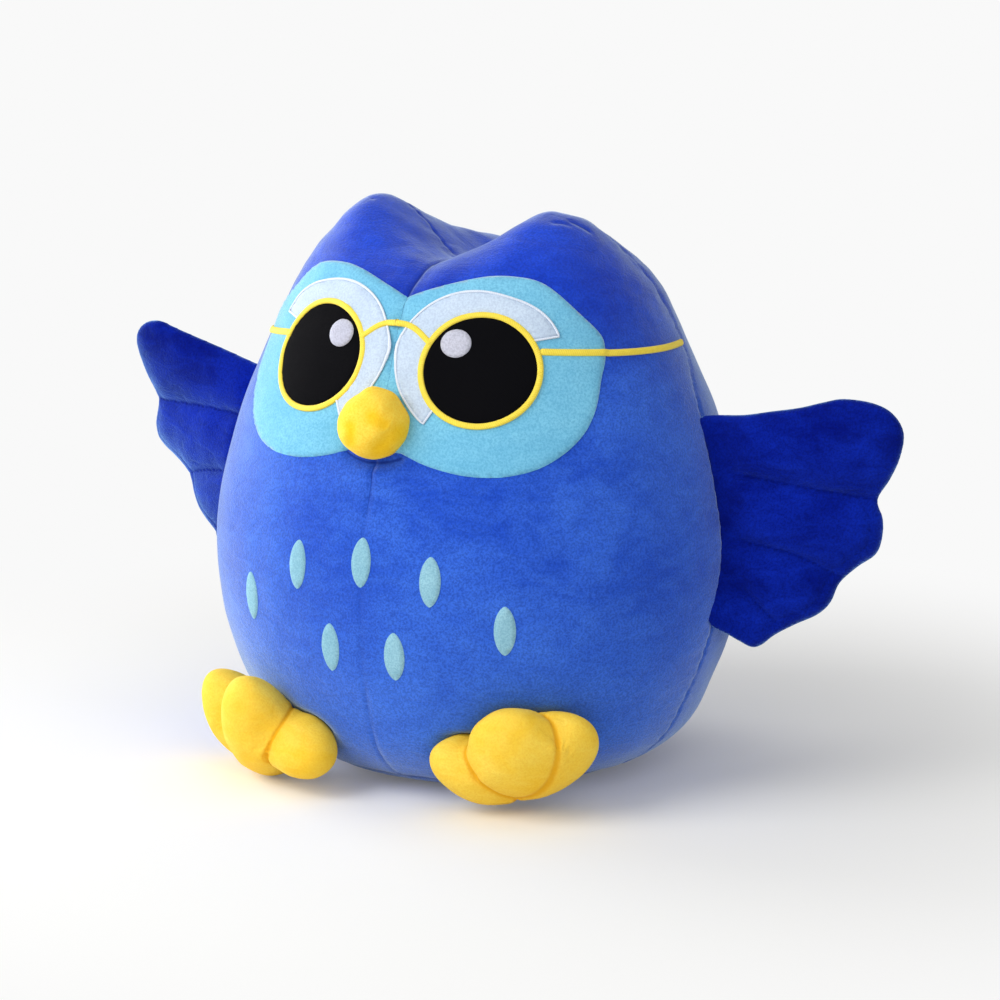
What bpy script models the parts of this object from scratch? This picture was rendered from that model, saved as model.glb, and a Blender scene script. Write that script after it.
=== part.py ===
import math

import bmesh
import bpy
from mathutils import Matrix, Vector

# A stuffed owl. It stands on the XY plane with the centre of its base at the origin, and looks along -Y.
# Its own left is +X. Lengths are in metres. A name that ends in share or shares is a part of another size.

side_signs = {"left": 1, "right": -1}

# Body: an outline from the middle of the base to the crown, wider than it is deep
body_width = 0.273
crown_height = 0.260
front_low_share = 0.876
front_high_share = 0.706
back_depth_share = 0.914
outline_shares = [
    (0.0, 0.0), (0.425, 0.0), (0.634, 0.031), (0.808, 0.096), (0.905, 0.192), (0.975, 0.308), (1.0, 0.461),
    (0.942, 0.616), (0.835, 0.769), (0.690, 0.921), (0.555, 0.976), (0.380, 0.998), (0.190, 1.0), (0.0, 1.0),
]
body_columns = 32
form_columns = 120
form_rows_per_share = 6
body_rows_per_share = 2

# Two tufts rise from the crown and fade out down the head
tuft_rise = 0.0203
tuft_spread = 0.104
tuft_forward = 0.007
tuft_width = 0.027
tuft_depth = 0.036
tuft_foot_share = 0.82
tuft_full_share = 0.97

# Cloth and the gaps between sewn pieces
cloth = 0.0015
limb_cloth = 0.0012
seam_gap = 0.0008
clearance = 0.0004
stuffing_clearance = 0.0009
base_seam_height = 0.007
side_seam_lean = math.radians(7)
side_seam_foot_height = 0.095
cut_overrun = 0.02

# Layers that lie on the front of the body
patch_cloth = 0.0010
embroidery = 0.0007
stitch_cord = 0.0011
layer_gap = 0.00035
patch_lift = 0.0007
mark_lift = 0.0002
patch_grid = 0.0115
outline_steps = 2

# Face: the eyes are discs that lie on the slope of the body
eye_azimuth = math.radians(24.2)
eye_height = 0.212
eye_radius = 0.0270
eye_squash_share = 0.95
rim_width = 0.0034
eye_sides = 24
highlight_width = 0.0150
highlight_height = 0.0138
highlight_side = 0.0120
highlight_up = 0.0125
highlight_sides = 12

# The patch lobe round an eye, from the brow notch outwards and back under the beak
patch_reach = 0.0570
patch_lobe_shares = [
    (-0.84, 0.58), (-0.60, 0.68), (-0.36, 0.75), (-0.12, 0.81), (0.12, 0.835), (0.36, 0.81), (0.62, 0.68),
    (0.82, 0.50), (0.955, 0.36), (1.0, 0.18), (0.975, -0.06), (0.955, -0.28), (0.87, -0.50), (0.70, -0.70),
    (0.45, -0.82), (0.12, -0.89), (-0.20, -0.865), (-0.52, -0.76), (-0.84, -0.60),
]

# The crescent hugs the rim from the outer brow, over the top and down beside the beak
crescent_start = math.radians(28)
crescent_end = math.radians(227)
crescent_radius = 0.0405
crescent_shares = [0.985, 0.985, 0.955, 0.94, 0.955, 0.99, 1.03, 1.03, 0.995, 0.95, 0.91, 0.88]
crescent_steps = 2

# Spectacles: an arched bridge between the rims and a straight temple on each side
bridge_shares = [(-0.93, 0.48), (-1.06, 0.59), (-1.22, 0.67), (-1.40, 0.71)]
bridge_width = 0.0030
temple_width = 0.0033
temple_start_height = 0.2205
temple_end_height = 0.2150
temple_end_azimuth = math.radians(104)
temple_points = 8

# Belly marks: pointed ellipses, placed by azimuth and by height in shares of the crown height
mark_length = 0.0235
mark_width = 0.0104
mark_point_power = 1.25
mark_steps = 5
mark_places = [
    (math.radians(-32.5), 0.358), (math.radians(-16.2), 0.443), (math.radians(0), 0.466),
    (math.radians(16.2), 0.443), (math.radians(32.5), 0.358), (math.radians(-7.8), 0.297),
    (math.radians(7.8), 0.297),
]

# Beak: a plump ball sewn over the centre seam
beak_width = 0.0365
beak_height = 0.0360
beak_depth = 0.0350
beak_centre_height = 0.187
beak_forward = 0.006
beak_columns = 12
beak_rows = 8

# Wings: flat stuffed flaps that hang from the side seams
wing_root_low = 0.086
wing_root_high = 0.183
wing_sweep = math.radians(8)
wing_reach = 0.0905
wing_outline_shares = [
    (0.147, 0.561), (0.30, 0.572), (0.458, 0.583), (0.60, 0.606), (0.71, 0.617), (0.862, 0.588),
    (0.963, 0.528), (1.009, 0.422), (0.970, 0.291), (0.900, 0.177), (0.822, 0.074), (0.836, -0.033),
    (0.816, -0.142), (0.772, -0.221), (0.673, -0.281), (0.573, -0.362), (0.517, -0.462), (0.443, -0.526),
    (0.322, -0.574), (0.218, -0.623), (0.148, -0.672), (0.097, -0.680), (0.040, -0.645), (-0.016, -0.606),
]
wing_root_points = 5
wing_puff = 0.0060
wing_edge_half = 0.0004
wing_edge_fall = 0.014
wing_hem = 0.005
wing_bead = 0.0013
wing_grid = 0.0170
wing_channel_depth_share = 0.62
wing_channel_width = 0.0075
wing_channel_shares = [
    ((0.069, 0.255), (0.822, 0.074)), ((0.030, -0.088), (0.573, -0.335)), ((0.030, -0.355), (0.225, -0.560)),
]
wing_lifts = {"left": 0, "right": math.radians(5)}
wing_curls = {"left": 0.030, "right": 0.046}
wing_curl_top_share = 0.42

# Feet: three stuffed toes that lean forward off the heel, soles outwards
foot_azimuth = math.radians(29.5)
foot_lean = math.radians(29)
foot_heel_side = 0.064
foot_heel_front = 0.0720
foot_width = 0.080
foot_floor_gap = 0.0002
toe_columns = 10
toe_rows = 6
toe_shares = [
    # side, up and out from the heel, half length, half width, half thickness, fan angle from straight up
    (-0.250, 0.215, -0.015, 0.340, 0.215, 0.215, math.radians(58)),
    (-0.080, 0.395, 0.050, 0.385, 0.265, 0.200, math.radians(10)),
    (0.205, 0.335, 0.000, 0.390, 0.250, 0.195, math.radians(-32)),
]
foot_seam_height = 0.0085

# How places on the body are found
halvings = 40
probe_turn = math.radians(0.5)
probe_share = 0.002


def smooth_read(points, place):
    # A smooth curve through the points, read at a place counted in points from the first
    last = len(points) - 1
    index = min(int(place), last - 1)
    t = place - index
    before = Vector(points[max(index - 1, 0)])
    start = Vector(points[index])
    end = Vector(points[index + 1])
    after = Vector(points[min(index + 2, last)])
    start_slope = (end - before) / 2
    end_slope = (after - start) / 2
    curve = start * (2 * t ** 3 - 3 * t ** 2 + 1) + end * (3 * t ** 2 - 2 * t ** 3)
    return curve + start_slope * (t ** 3 - 2 * t ** 2 + t) + end_slope * (t ** 3 - t ** 2)


def smooth_step(value):
    value = min(max(value, 0), 1)
    return value * value * (3 - 2 * value)


def body_outline(rise):
    # Half width and height of the body, where rise runs from 0 at the base's centre to 1 at the crown
    shares = smooth_read(outline_shares, rise * (len(outline_shares) - 1))
    return max(shares.x, 0) * body_width / 2, min(max(shares.y, 0), 1) * crown_height


def tuft_lift(x, y, height):
    fade = smooth_step((height / crown_height - tuft_foot_share) / (tuft_full_share - tuft_foot_share))
    across = (abs(x) - tuft_spread / 2) / tuft_width
    along = (y + tuft_forward) / tuft_depth
    return tuft_rise * fade * math.exp(-across ** 2 - along ** 2)


def body_point(azimuth, rise):
    # Azimuth 0 is the middle of the front, and it grows towards the owl's left
    half_width, height = body_outline(rise)
    level = height / crown_height
    front_share = front_low_share + (front_high_share - front_low_share) * level
    depth_share = front_share if math.cos(azimuth) > 0 else back_depth_share
    x = half_width * math.sin(azimuth)
    y = -half_width * depth_share * math.cos(azimuth)
    return Vector((x, y, height + tuft_lift(x, y, height)))


def rise_at(height):
    # The rise at which the body's outline reaches a height, by halving
    low, high = 1 / (len(outline_shares) - 1), 1
    for _ in range(halvings):
        middle = (low + high) / 2
        if body_outline(middle)[1] < height:
            low = middle
        else:
            high = middle
    return (low + high) / 2


def body_frame(azimuth, rise):
    # A frame on the body: X sideways towards the owl's left, Y up the slope, Z out of the cloth
    right = body_point(azimuth + probe_turn, rise) - body_point(azimuth - probe_turn, rise)
    upward = body_point(azimuth, rise + probe_share) - body_point(azimuth, rise - probe_share)
    right.normalize()
    outward = right.cross(upward).normalized()
    upward = outward.cross(right)
    return frame_from(right, upward, outward, body_point(azimuth, rise))


def frame_from(x_axis, y_axis, z_axis, origin):
    frame = Matrix((x_axis, y_axis, z_axis)).transposed().to_4x4()
    frame.translation = origin
    return frame


def seam_y(height):
    # The side seams lean back as they go up
    return math.tan(side_seam_lean) * (height - side_seam_foot_height)


def side_point(height):
    # Where the left side seam lies at a height
    half_width = body_outline(rise_at(height))[0]
    y = seam_y(height)
    depth = half_width * (back_depth_share if y > 0 else front_low_share)
    return Vector((half_width * math.sqrt(1 - (y / depth) ** 2), y, height))


def make_material(name, colour, roughness):
    material = bpy.data.materials.new(name)
    material.use_nodes = True
    shader = material.node_tree.nodes["Principled BSDF"]
    shader.inputs["Base Color"].default_value = (*colour, 1)
    shader.inputs["Roughness"].default_value = roughness
    shader.inputs["Metallic"].default_value = 0
    return material


def add_object(name, mesh, collection, frame=None, finish=None):
    piece = bpy.data.objects.new(name, mesh)
    collection.objects.link(piece)
    if frame is not None:
        piece.matrix_world = frame
    if finish is not None:
        mesh.materials.append(make_material(name, *finish))
        mesh.shade_smooth()
    return piece


def make_guide(name, mesh, frame=None):
    # Cutters and forms stay in their own collection and are not part of the owl
    guide = add_object(name, mesh, guides, frame)
    guide.hide_render = True
    guide.display_type = "WIRE"
    return guide


def mesh_from(bm, name):
    mesh = bpy.data.meshes.new(name)
    bm.to_mesh(mesh)
    bm.free()
    return mesh


def add_boolean(piece, operation, cutter):
    cut = piece.modifiers.new("cut with " + cutter.name, "BOOLEAN")
    cut.operation = operation
    cut.solver = "EXACT"
    cut.object = cutter


def add_cloth(piece, thickness, offset):
    wall = piece.modifiers.new("cloth", "SOLIDIFY")
    wall.thickness = thickness
    wall.offset = offset


def add_shrink(piece, distance):
    # Moves a closed surface inwards along its normals
    shrink = piece.modifiers.new("shrink", "DISPLACE")
    shrink.mid_level = 0
    shrink.strength = -distance


# Body

def body_mesh(name, columns, rows_per_share):
    # A unit sphere whose points are moved to the body, ring by ring
    rows = rows_per_share * (len(outline_shares) - 1)
    bm = bmesh.new()
    bmesh.ops.create_uvsphere(bm, u_segments=columns, v_segments=rows, radius=1)
    for vert in bm.verts:
        rise = math.acos(max(-1, min(1, -vert.co.z))) / math.pi
        azimuth = math.atan2(vert.co.x, -vert.co.y)
        vert.co = body_point(azimuth, rise)
    return mesh_from(bm, name)


def block_mesh(name, corners, low_x, high_x):
    # A block whose side view is a polygon of (y, z) corners
    bm = bmesh.new()
    face = bm.faces.new([bm.verts.new((low_x, y, z)) for y, z in corners])
    grown = bmesh.ops.extrude_face_region(bm, geom=[face])
    moved = [item for item in grown["geom"] if isinstance(item, bmesh.types.BMVert)]
    bmesh.ops.translate(bm, vec=(high_x - low_x, 0, 0), verts=moved)
    bmesh.ops.recalc_face_normals(bm, faces=bm.faces)
    return mesh_from(bm, name)


def quarter_cutter(name, side, front):
    reach = body_width
    top = crown_height + tuft_rise + cut_overrun
    low = base_seam_height + seam_gap / 2
    half_gap = seam_gap / 2
    toward = -1 if front else 1
    corners = [
        (seam_y(low) + toward * half_gap, low), (seam_y(top) + toward * half_gap, top),
        (toward * reach, top), (toward * reach, low),
    ]
    return make_guide(name, block_mesh(name, corners, side * half_gap, side * reach))


def build_body():
    for side_name, side in side_signs.items():
        for front, place in ((True, "front"), (False, "back")):
            name = place + "_panel_" + side_name
            mesh = body_mesh(name, body_columns, body_rows_per_share)
            panel = add_object(name, mesh, owl, finish=(body_blue, 0.85))
            add_cloth(panel, cloth, -1)
            add_boolean(panel, "INTERSECT", quarter_cutter("cutter_" + name, side, front))

    mesh = body_mesh("base_panel", body_columns, body_rows_per_share)
    base = add_object("base_panel", mesh, owl, finish=(body_blue, 0.85))
    add_cloth(base, cloth, -1)
    reach = body_width
    top = base_seam_height - seam_gap / 2
    corners = [(-reach, -cut_overrun), (reach, -cut_overrun), (reach, top), (-reach, top)]
    cutter = make_guide("cutter_base_panel", block_mesh("cutter_base_panel", corners, -reach, reach))
    add_boolean(base, "INTERSECT", cutter)

    mesh = body_mesh("stuffing", body_columns, body_rows_per_share)
    stuffing = add_object("stuffing", mesh, owl, finish=(filling_white, 0.95))
    add_shrink(stuffing, cloth + stuffing_clearance)


# Flat pieces that are laid on the body

def smooth_loop(points, steps):
    # More points on a smooth closed line through the given ones
    count = len(points)
    ring = [points[-1], *points, points[0], points[1]]
    return [smooth_read(ring, 1 + index / steps) for index in range(count * steps)]


def grid_cut(bm, spacing):
    # Cuts a flat piece on a square grid, so that it can bend
    for axis in (0, 1):
        values = [vert.co[axis] for vert in bm.verts]
        normal = Vector((1, 0, 0)) if axis == 0 else Vector((0, 1, 0))
        first = math.ceil(min(values) / spacing)
        last = math.floor(max(values) / spacing)
        for step in range(first, last + 1):
            geometry = [*bm.verts, *bm.edges, *bm.faces]
            bmesh.ops.bisect_plane(bm, geom=geometry, plane_co=normal * step * spacing, plane_no=normal)
    bmesh.ops.triangulate(bm, faces=bm.faces)


def flat_mesh(name, points, spacing):
    bm = bmesh.new()
    face = bm.faces.new([bm.verts.new((point[0], point[1], 0)) for point in points])
    if face_turns_down(face):
        face.normal_flip()
    grid_cut(bm, spacing)
    return mesh_from(bm, name)


def face_turns_down(face):
    face.normal_update()
    return face.normal.z < 0


def ring_mesh(name, inner, outer, squash, sides):
    bm = bmesh.new()
    bmesh.ops.create_circle(bm, cap_ends=False, radius=inner, segments=sides)
    bmesh.ops.create_circle(bm, cap_ends=False, radius=outer, segments=sides)
    bmesh.ops.scale(bm, vec=(1, squash, 1), verts=bm.verts)
    bmesh.ops.bridge_loops(bm, edges=bm.edges)
    bmesh.ops.recalc_face_normals(bm, faces=bm.faces)
    for face in bm.faces:
        if face_turns_down(face):
            face.normal_flip()
    bmesh.ops.triangulate(bm, faces=bm.faces)
    return mesh_from(bm, name)


def lay_on_body(name, mesh, frame, lift, thickness, finish):
    # Presses a flat piece onto the body along its own Z, and gives it its thickness outwards
    piece = add_object(name, mesh, owl, frame, finish)
    wrap = piece.modifiers.new("lie on the body", "SHRINKWRAP")
    wrap.target = body_form
    wrap.wrap_method = "PROJECT"
    wrap.wrap_mode = "ABOVE_SURFACE"
    wrap.use_project_z = True
    wrap.use_negative_direction = True
    wrap.use_positive_direction = True
    wrap.offset = lift
    add_cloth(piece, thickness, 1)
    return piece


def half_cutter(name, side):
    reach = body_width
    corners = [(-reach, -cut_overrun), (reach, -cut_overrun), (reach, reach * 2), (-reach, reach * 2)]
    return make_guide(name, block_mesh(name, corners, side * seam_gap / 2, side * reach))


def ellipse_points(width, height, sides, centre=(0, 0)):
    angles = [2 * math.pi * index / sides for index in range(sides)]
    return [(centre[0] + width / 2 * math.cos(a), centre[1] + height / 2 * math.sin(a)) for a in angles]


def strip_points(path, width):
    # A band of constant width round a path
    left, right = [], []
    for index, point in enumerate(path):
        ahead = path[min(index + 1, len(path) - 1)] - path[max(index - 1, 0)]
        across = Vector((-ahead.y, ahead.x)).normalized() * width / 2
        left.append(point + across)
        right.append(point - across)
    return left + right[::-1]


def crescent_points():
    count = (len(crescent_shares) - 1) * crescent_steps
    inner_radius = eye_radius + rim_width + 3 * layer_gap
    outer, inner = [], []
    for index in range(count + 1):
        turn = crescent_start + (crescent_end - crescent_start) * index / count
        share = smooth_read([(value, 0) for value in crescent_shares], index / crescent_steps).x
        direction = Vector((math.cos(turn), math.sin(turn)))
        squash = Vector((1, eye_squash_share))
        outer.append(direction * crescent_radius * share)
        inner.append(direction * squash * inner_radius)
    return outer + inner[::-1]


def mirrored(points, side):
    return [(point[0] * side, point[1]) for point in points]


def scaled(shares, size):
    return [Vector(share) * size for share in shares]


def build_face(side, side_name):
    frame = body_frame(side * eye_azimuth, rise_at(eye_height))
    thread_lift = patch_lift + patch_cloth + layer_gap
    top_lift = thread_lift + embroidery + layer_gap

    lobe = mirrored(smooth_loop(scaled(patch_lobe_shares, patch_reach), outline_steps), side)
    mesh = flat_mesh("face_patch_" + side_name, lobe, patch_grid)
    patch = lay_on_body("face_patch_" + side_name, mesh, frame, patch_lift, patch_cloth, (patch_aqua, 0.85))
    add_boolean(patch, "INTERSECT", half_cutter("cutter_patch_" + side_name, side))

    disc = ellipse_points(2 * eye_radius, 2 * eye_radius * eye_squash_share, eye_sides)
    mesh = flat_mesh("eye_" + side_name, disc, patch_grid)
    lay_on_body("eye_" + side_name, mesh, frame, thread_lift, embroidery, (eye_black, 0.6))

    inner = eye_radius + layer_gap
    mesh = ring_mesh("rim_" + side_name, inner, inner + rim_width, eye_squash_share, eye_sides)
    lay_on_body("rim_" + side_name, mesh, frame, thread_lift, stitch_cord, (thread_yellow, 0.5))

    mesh = flat_mesh("eye_crescent_" + side_name, mirrored(crescent_points(), side), patch_grid)
    lay_on_body("eye_crescent_" + side_name, mesh, frame, thread_lift, embroidery, (crescent_lilac, 0.8))

    centre = (-side * highlight_side, highlight_up)
    spot = ellipse_points(highlight_width, highlight_height, highlight_sides, centre)
    mesh = flat_mesh("eye_highlight_" + side_name, spot, patch_grid)
    lay_on_body("eye_highlight_" + side_name, mesh, frame, top_lift, embroidery, (crescent_lilac, 0.7))

    build_temple(side, side_name, thread_lift)


def rim_edge_azimuth():
    # Where the left rim's outer side crosses the temple's height, by halving
    to_eye = body_frame(eye_azimuth, rise_at(eye_height)).inverted()
    rim_reach = eye_radius + rim_width + 3 * layer_gap
    low, high = eye_azimuth, temple_end_azimuth
    for _ in range(halvings):
        middle = (low + high) / 2
        point = to_eye @ body_point(middle, rise_at(temple_start_height))
        if point.x < 0 or point.to_2d().length < rim_reach:
            low = middle
        else:
            high = middle
    return high


def build_temple(side, side_name, lift):
    # Starts at the rim and runs level round the side of the head to the side seam
    start = rim_edge_azimuth()
    middle = (start + temple_end_azimuth) / 2
    frame = body_frame(side * middle, rise_at((temple_start_height + temple_end_height) / 2))
    to_frame = frame.inverted()
    path = []
    for index in range(temple_points + 1):
        share = index / temple_points
        azimuth = side * (start + (temple_end_azimuth - start) * share)
        height = temple_start_height + (temple_end_height - temple_start_height) * share
        path.append((to_frame @ body_point(azimuth, rise_at(height))).to_2d())
    mesh = flat_mesh("temple_" + side_name, strip_points(path, temple_width), patch_grid)
    lay_on_body("temple_" + side_name, mesh, frame, lift, stitch_cord, (thread_yellow, 0.5))


def build_bridge():
    # One arch from rim to rim, over the inner ends of the crescents
    eye_frame = body_frame(eye_azimuth, rise_at(eye_height))
    frame = body_frame(0, rise_at(eye_height))
    to_frame = frame.inverted()
    half = [to_frame @ (eye_frame @ point.to_3d()) for point in scaled(bridge_shares, eye_radius + rim_width)]
    half = [point.to_2d() for point in half if point.x > 0]
    path = half + [Vector((-point.x, point.y)) for point in half[::-1]]
    path = [smooth_read(path, index / outline_steps) for index in range((len(path) - 1) * outline_steps + 1)]
    lift = patch_lift + patch_cloth + embroidery + 2 * layer_gap
    mesh = flat_mesh("rim_bridge", strip_points(path, bridge_width), patch_grid)
    lay_on_body("rim_bridge", mesh, frame, lift, stitch_cord, (thread_yellow, 0.5))


def build_marks():
    # Each mark is two arcs that meet in a point at the top and the bottom
    for number, (azimuth, height_share) in enumerate(mark_places, start=1):
        half = []
        for index in range(mark_steps + 1):
            turn = math.pi * index / mark_steps
            x = mark_width / 2 * math.sin(turn) ** mark_point_power
            half.append((x, mark_length / 2 * math.cos(turn)))
        points = half + [(-x, y) for x, y in half[-2:0:-1]]
        frame = body_frame(azimuth, rise_at(height_share * crown_height))
        name = "belly_mark_" + str(number)
        mesh = flat_mesh(name, points, patch_grid)
        lay_on_body(name, mesh, frame, mark_lift, patch_cloth, (mark_aqua, 0.8))


# Beak

def build_beak():
    # A ball whose back is cut to sit on the face, over the patches and the crescent tips
    seat_lift = patch_lift + patch_cloth + embroidery + 2 * layer_gap
    seat = make_guide("cutter_beak_seat", body_mesh("cutter_beak_seat", form_columns, form_rows_per_share))
    add_shrink(seat, -seat_lift)
    skin = body_point(0, rise_at(beak_centre_height))
    frame = Matrix.Translation(skin - Vector((0, beak_forward, 0)))
    for name, finish in (("beak_cover", (beak_yellow, 0.8)), ("beak_filling", (filling_white, 0.95))):
        bm = bmesh.new()
        bmesh.ops.create_uvsphere(bm, u_segments=beak_columns, v_segments=beak_rows, radius=1)
        bmesh.ops.scale(bm, vec=(beak_width / 2, beak_depth / 2, beak_height / 2), verts=bm.verts)
        piece = add_object(name, mesh_from(bm, name), owl, frame, finish)
        if name == "beak_cover":
            add_cloth(piece, limb_cloth, -1)
        else:
            add_shrink(piece, limb_cloth + clearance)
        add_boolean(piece, "DIFFERENCE", seat)


# Wings

def wing_frame():
    # The left wing's frame: X outwards along the wing, Y to its back, Z up the hinge line at the side seam.
    # The hinge line is the chord of the seam, moved out until it clears the body's bulge.
    low = side_point(wing_root_low)
    high = side_point(wing_root_high)
    up = (high - low).normalized()
    outward = Vector((math.cos(wing_sweep), math.sin(wing_sweep), 0))
    outward = (outward - up * outward.dot(up)).normalized()
    bulge = 0
    for index in range(wing_root_points * 2 + 1):
        height = wing_root_low + (wing_root_high - wing_root_low) * index / (wing_root_points * 2)
        point = side_point(height)
        bulge = max(bulge, (point - low).x - (up * (point - low).dot(up)).x)
    away = Vector((bulge + wing_bead + clearance, 0, 0))
    return frame_from(outward, up.cross(outward), up, (low + high) / 2 + away)


def wing_outline(frame, lift):
    # The root follows the body; the rest is the wing's own line, in shares of its reach, turned up by its lift
    to_frame = frame.inverted()
    root = []
    for index in range(wing_root_points + 1):
        height = wing_root_low + (wing_root_high - wing_root_low) * index / wing_root_points
        point = to_frame @ side_point(height)
        root.append(Vector((point.x + clearance + wing_bead, point.z)))
    turn = Matrix.Rotation(lift, 2)
    tip = [turn @ Vector(share) * wing_reach for share in wing_outline_shares]
    return root + tip


def line_distance(point, start, end):
    along = end - start
    t = min(max((point - start).dot(along) / along.length_squared, 0), 1)
    return (point - start - along * t).length


def edge_distance(point, loop):
    return min(line_distance(point, loop[index - 1], end) for index, end in enumerate(loop))


def wing_half(point, loop, lift):
    # Half the wing's thickness: thin at its edge, full inside, and drawn in along the stitched channels
    turn = Matrix.Rotation(lift, 2)
    rise = 1 - (1 - min(edge_distance(point, loop) / wing_edge_fall, 1)) ** 2
    for start_share, end_share in wing_channel_shares:
        start = turn @ Vector(start_share) * wing_reach
        end = turn @ Vector(end_share) * wing_reach
        near = line_distance(point, start, end) / wing_channel_width
        rise *= 1 - wing_channel_depth_share * math.exp(-near ** 2)
    return wing_edge_half + wing_puff * rise


def wing_flat(side, loop, inner):
    # The wing laid flat: a core inside the inner loop and a hem round it, cut on one grid.
    # The layer says which faces are core, so that the wadding has the same facets as the cloth over it.
    bm = bmesh.new()
    core = bm.faces.layers.int.new("core")
    edge_verts = [bm.verts.new((side * point.x, point.y, 0)) for point in loop]
    core_verts = [bm.verts.new((side * point.x, point.y, 0)) for point in inner]
    bm.faces.new(core_verts)[core] = 1
    for index in range(len(loop)):
        corner = (index + 1) % len(loop)
        bm.faces.new((edge_verts[index], edge_verts[corner], core_verts[corner], core_verts[index]))
    grid_cut(bm, wing_grid)
    bmesh.ops.recalc_face_normals(bm, faces=bm.faces)
    return bm


def curl_back(point, side_name):
    # The lower, outer part of a wing bends towards the back
    return wing_curls[side_name] * point.x / wing_reach * (wing_curl_top_share - point.y / wing_reach)


def puff_wing(bm, side_name, loop, face, inset):
    # Stands the flat wing up and puffs it out: face -1 is its front, 1 its back
    side = side_signs[side_name]
    for vert in bm.verts:
        point = Vector((side * vert.co.x, vert.co.y))
        half = wing_half(point, loop, wing_lifts[side_name]) - inset
        vert.co = Vector((vert.co.x, face * half + curl_back(point, side_name), vert.co.y))
    for item in bm.faces:
        item.normal_update()
    if sum(item.normal.y * item.calc_area() for item in bm.faces) * face < 0:
        bmesh.ops.reverse_faces(bm, faces=bm.faces)


def wadding_mesh(name, side_name, loop, inner):
    # Two puffed faces inside the cloth, joined round their edge
    both = bmesh.new()
    for face in (-1, 1):
        bm = wing_flat(side_signs[side_name], loop, inner)
        core = bm.faces.layers.int["core"]
        hem = [item for item in bm.faces if not item[core]]
        bmesh.ops.delete(bm, geom=hem, context="FACES")
        puff_wing(bm, side_name, loop, face, clearance)
        half = mesh_from(bm, name)
        both.from_mesh(half)
        bpy.data.meshes.remove(half)
    both.verts.ensure_lookup_table()
    both.verts.index_update()
    count = len(both.verts) // 2
    for edge in [edge for edge in both.edges if edge.is_boundary and edge.verts[0].index < count]:
        start, end = edge.verts
        both.faces.new((start, end, both.verts[end.index + count], both.verts[start.index + count]))
    bmesh.ops.triangulate(both, faces=both.faces)
    bmesh.ops.recalc_face_normals(both, faces=both.faces)
    return mesh_from(both, name)


def build_wing(side, side_name):
    frame = wing_frame()
    loop = wing_outline(frame, wing_lifts[side_name])
    inner = inset_loop(loop, wing_hem)
    if side < 0:
        frame = mirror_frame(frame)
    seam = add_empty("wing_" + side_name + "_seam", frame)
    for face, place in ((-1, "front"), (1, "back")):
        name = "wing_" + side_name + "_" + place
        bm = wing_flat(side, loop, inner)
        puff_wing(bm, side_name, loop, face, 0)
        piece = add_object(name, mesh_from(bm, name), owl, frame, (wing_blue, 0.85))
        add_cloth(piece, limb_cloth, 1)
        hang(piece, seam)
    name = "wing_" + side_name + "_wadding"
    mesh = wadding_mesh(name, side_name, loop, inner)
    hang(add_object(name, mesh, owl, frame, (filling_white, 0.95)), seam)


def inset_loop(loop, distance):
    # The same loop moved inwards, point by point, by the mean of its neighbours' normals
    count = len(loop)
    inner = []
    for index, point in enumerate(loop):
        along = loop[(index + 1) % count] - loop[index - 1]
        inward = Vector((-along.y, along.x)).normalized()
        inner.append(point - inward * distance)
    if loop_area(inner) > loop_area(loop):
        inner = [point * 2 - other for point, other in zip(loop, inner)]
    return inner


def loop_area(loop):
    count = len(loop)
    return abs(sum(a.cross(loop[(index + 1) % count]) for index, a in enumerate(loop))) / 2


def mirror_frame(frame):
    # The same frame on the owl's right: X still points to the owl's left, Z still up
    mirror = Matrix.Diagonal((-1, 1, 1, 1))
    return mirror @ frame @ mirror


def add_empty(name, frame):
    empty = bpy.data.objects.new(name, None)
    owl.objects.link(empty)
    empty.matrix_world = frame
    return empty


def hang(piece, empty):
    piece.parent = empty
    piece.matrix_parent_inverse = empty.matrix_world.inverted()


# Feet

def foot_frame():
    # The left foot's frame at its heel: X to the outer side, Y up the toes, Z out of the sole
    outer = Vector((math.cos(foot_azimuth), math.sin(foot_azimuth), 0))
    sole = Vector((math.sin(foot_azimuth) * math.cos(foot_lean), -math.cos(foot_azimuth) * math.cos(foot_lean),
                   -math.sin(foot_lean)))
    toes = sole.cross(outer)
    frame = frame_from(outer, toes, sole, Vector((foot_heel_side, -foot_heel_front, 0)))
    lowest = min(toe_lowest(frame, shares) for shares in toe_shares)
    frame.translation.z = foot_floor_gap - lowest
    return frame


def toe_matrix(shares):
    side, up, out, half_length, half_width, half_thickness, fan = shares
    place = Matrix.Translation(Vector((side, up, out)) * foot_width)
    size = Matrix.Diagonal((half_width * foot_width, half_length * foot_width, half_thickness * foot_width, 1))
    return place @ Matrix.Rotation(fan, 4, "Z") @ size


def toe_lowest(frame, shares):
    matrix = frame @ toe_matrix(shares)
    return matrix.translation.z - Vector(matrix[2][:3]).length


def toe_mesh(name, shares, side):
    bm = bmesh.new()
    bmesh.ops.create_uvsphere(bm, u_segments=toe_columns, v_segments=toe_rows, radius=1)
    bmesh.ops.rotate(bm, matrix=Matrix.Rotation(math.radians(90), 3, "X"), verts=bm.verts)
    bmesh.ops.transform(bm, matrix=toe_matrix(shares), verts=bm.verts)
    if side < 0:
        bmesh.ops.scale(bm, vec=(-1, 1, 1), verts=bm.verts)
        bmesh.ops.reverse_faces(bm, faces=bm.faces)
    return mesh_from(bm, name)


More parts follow.
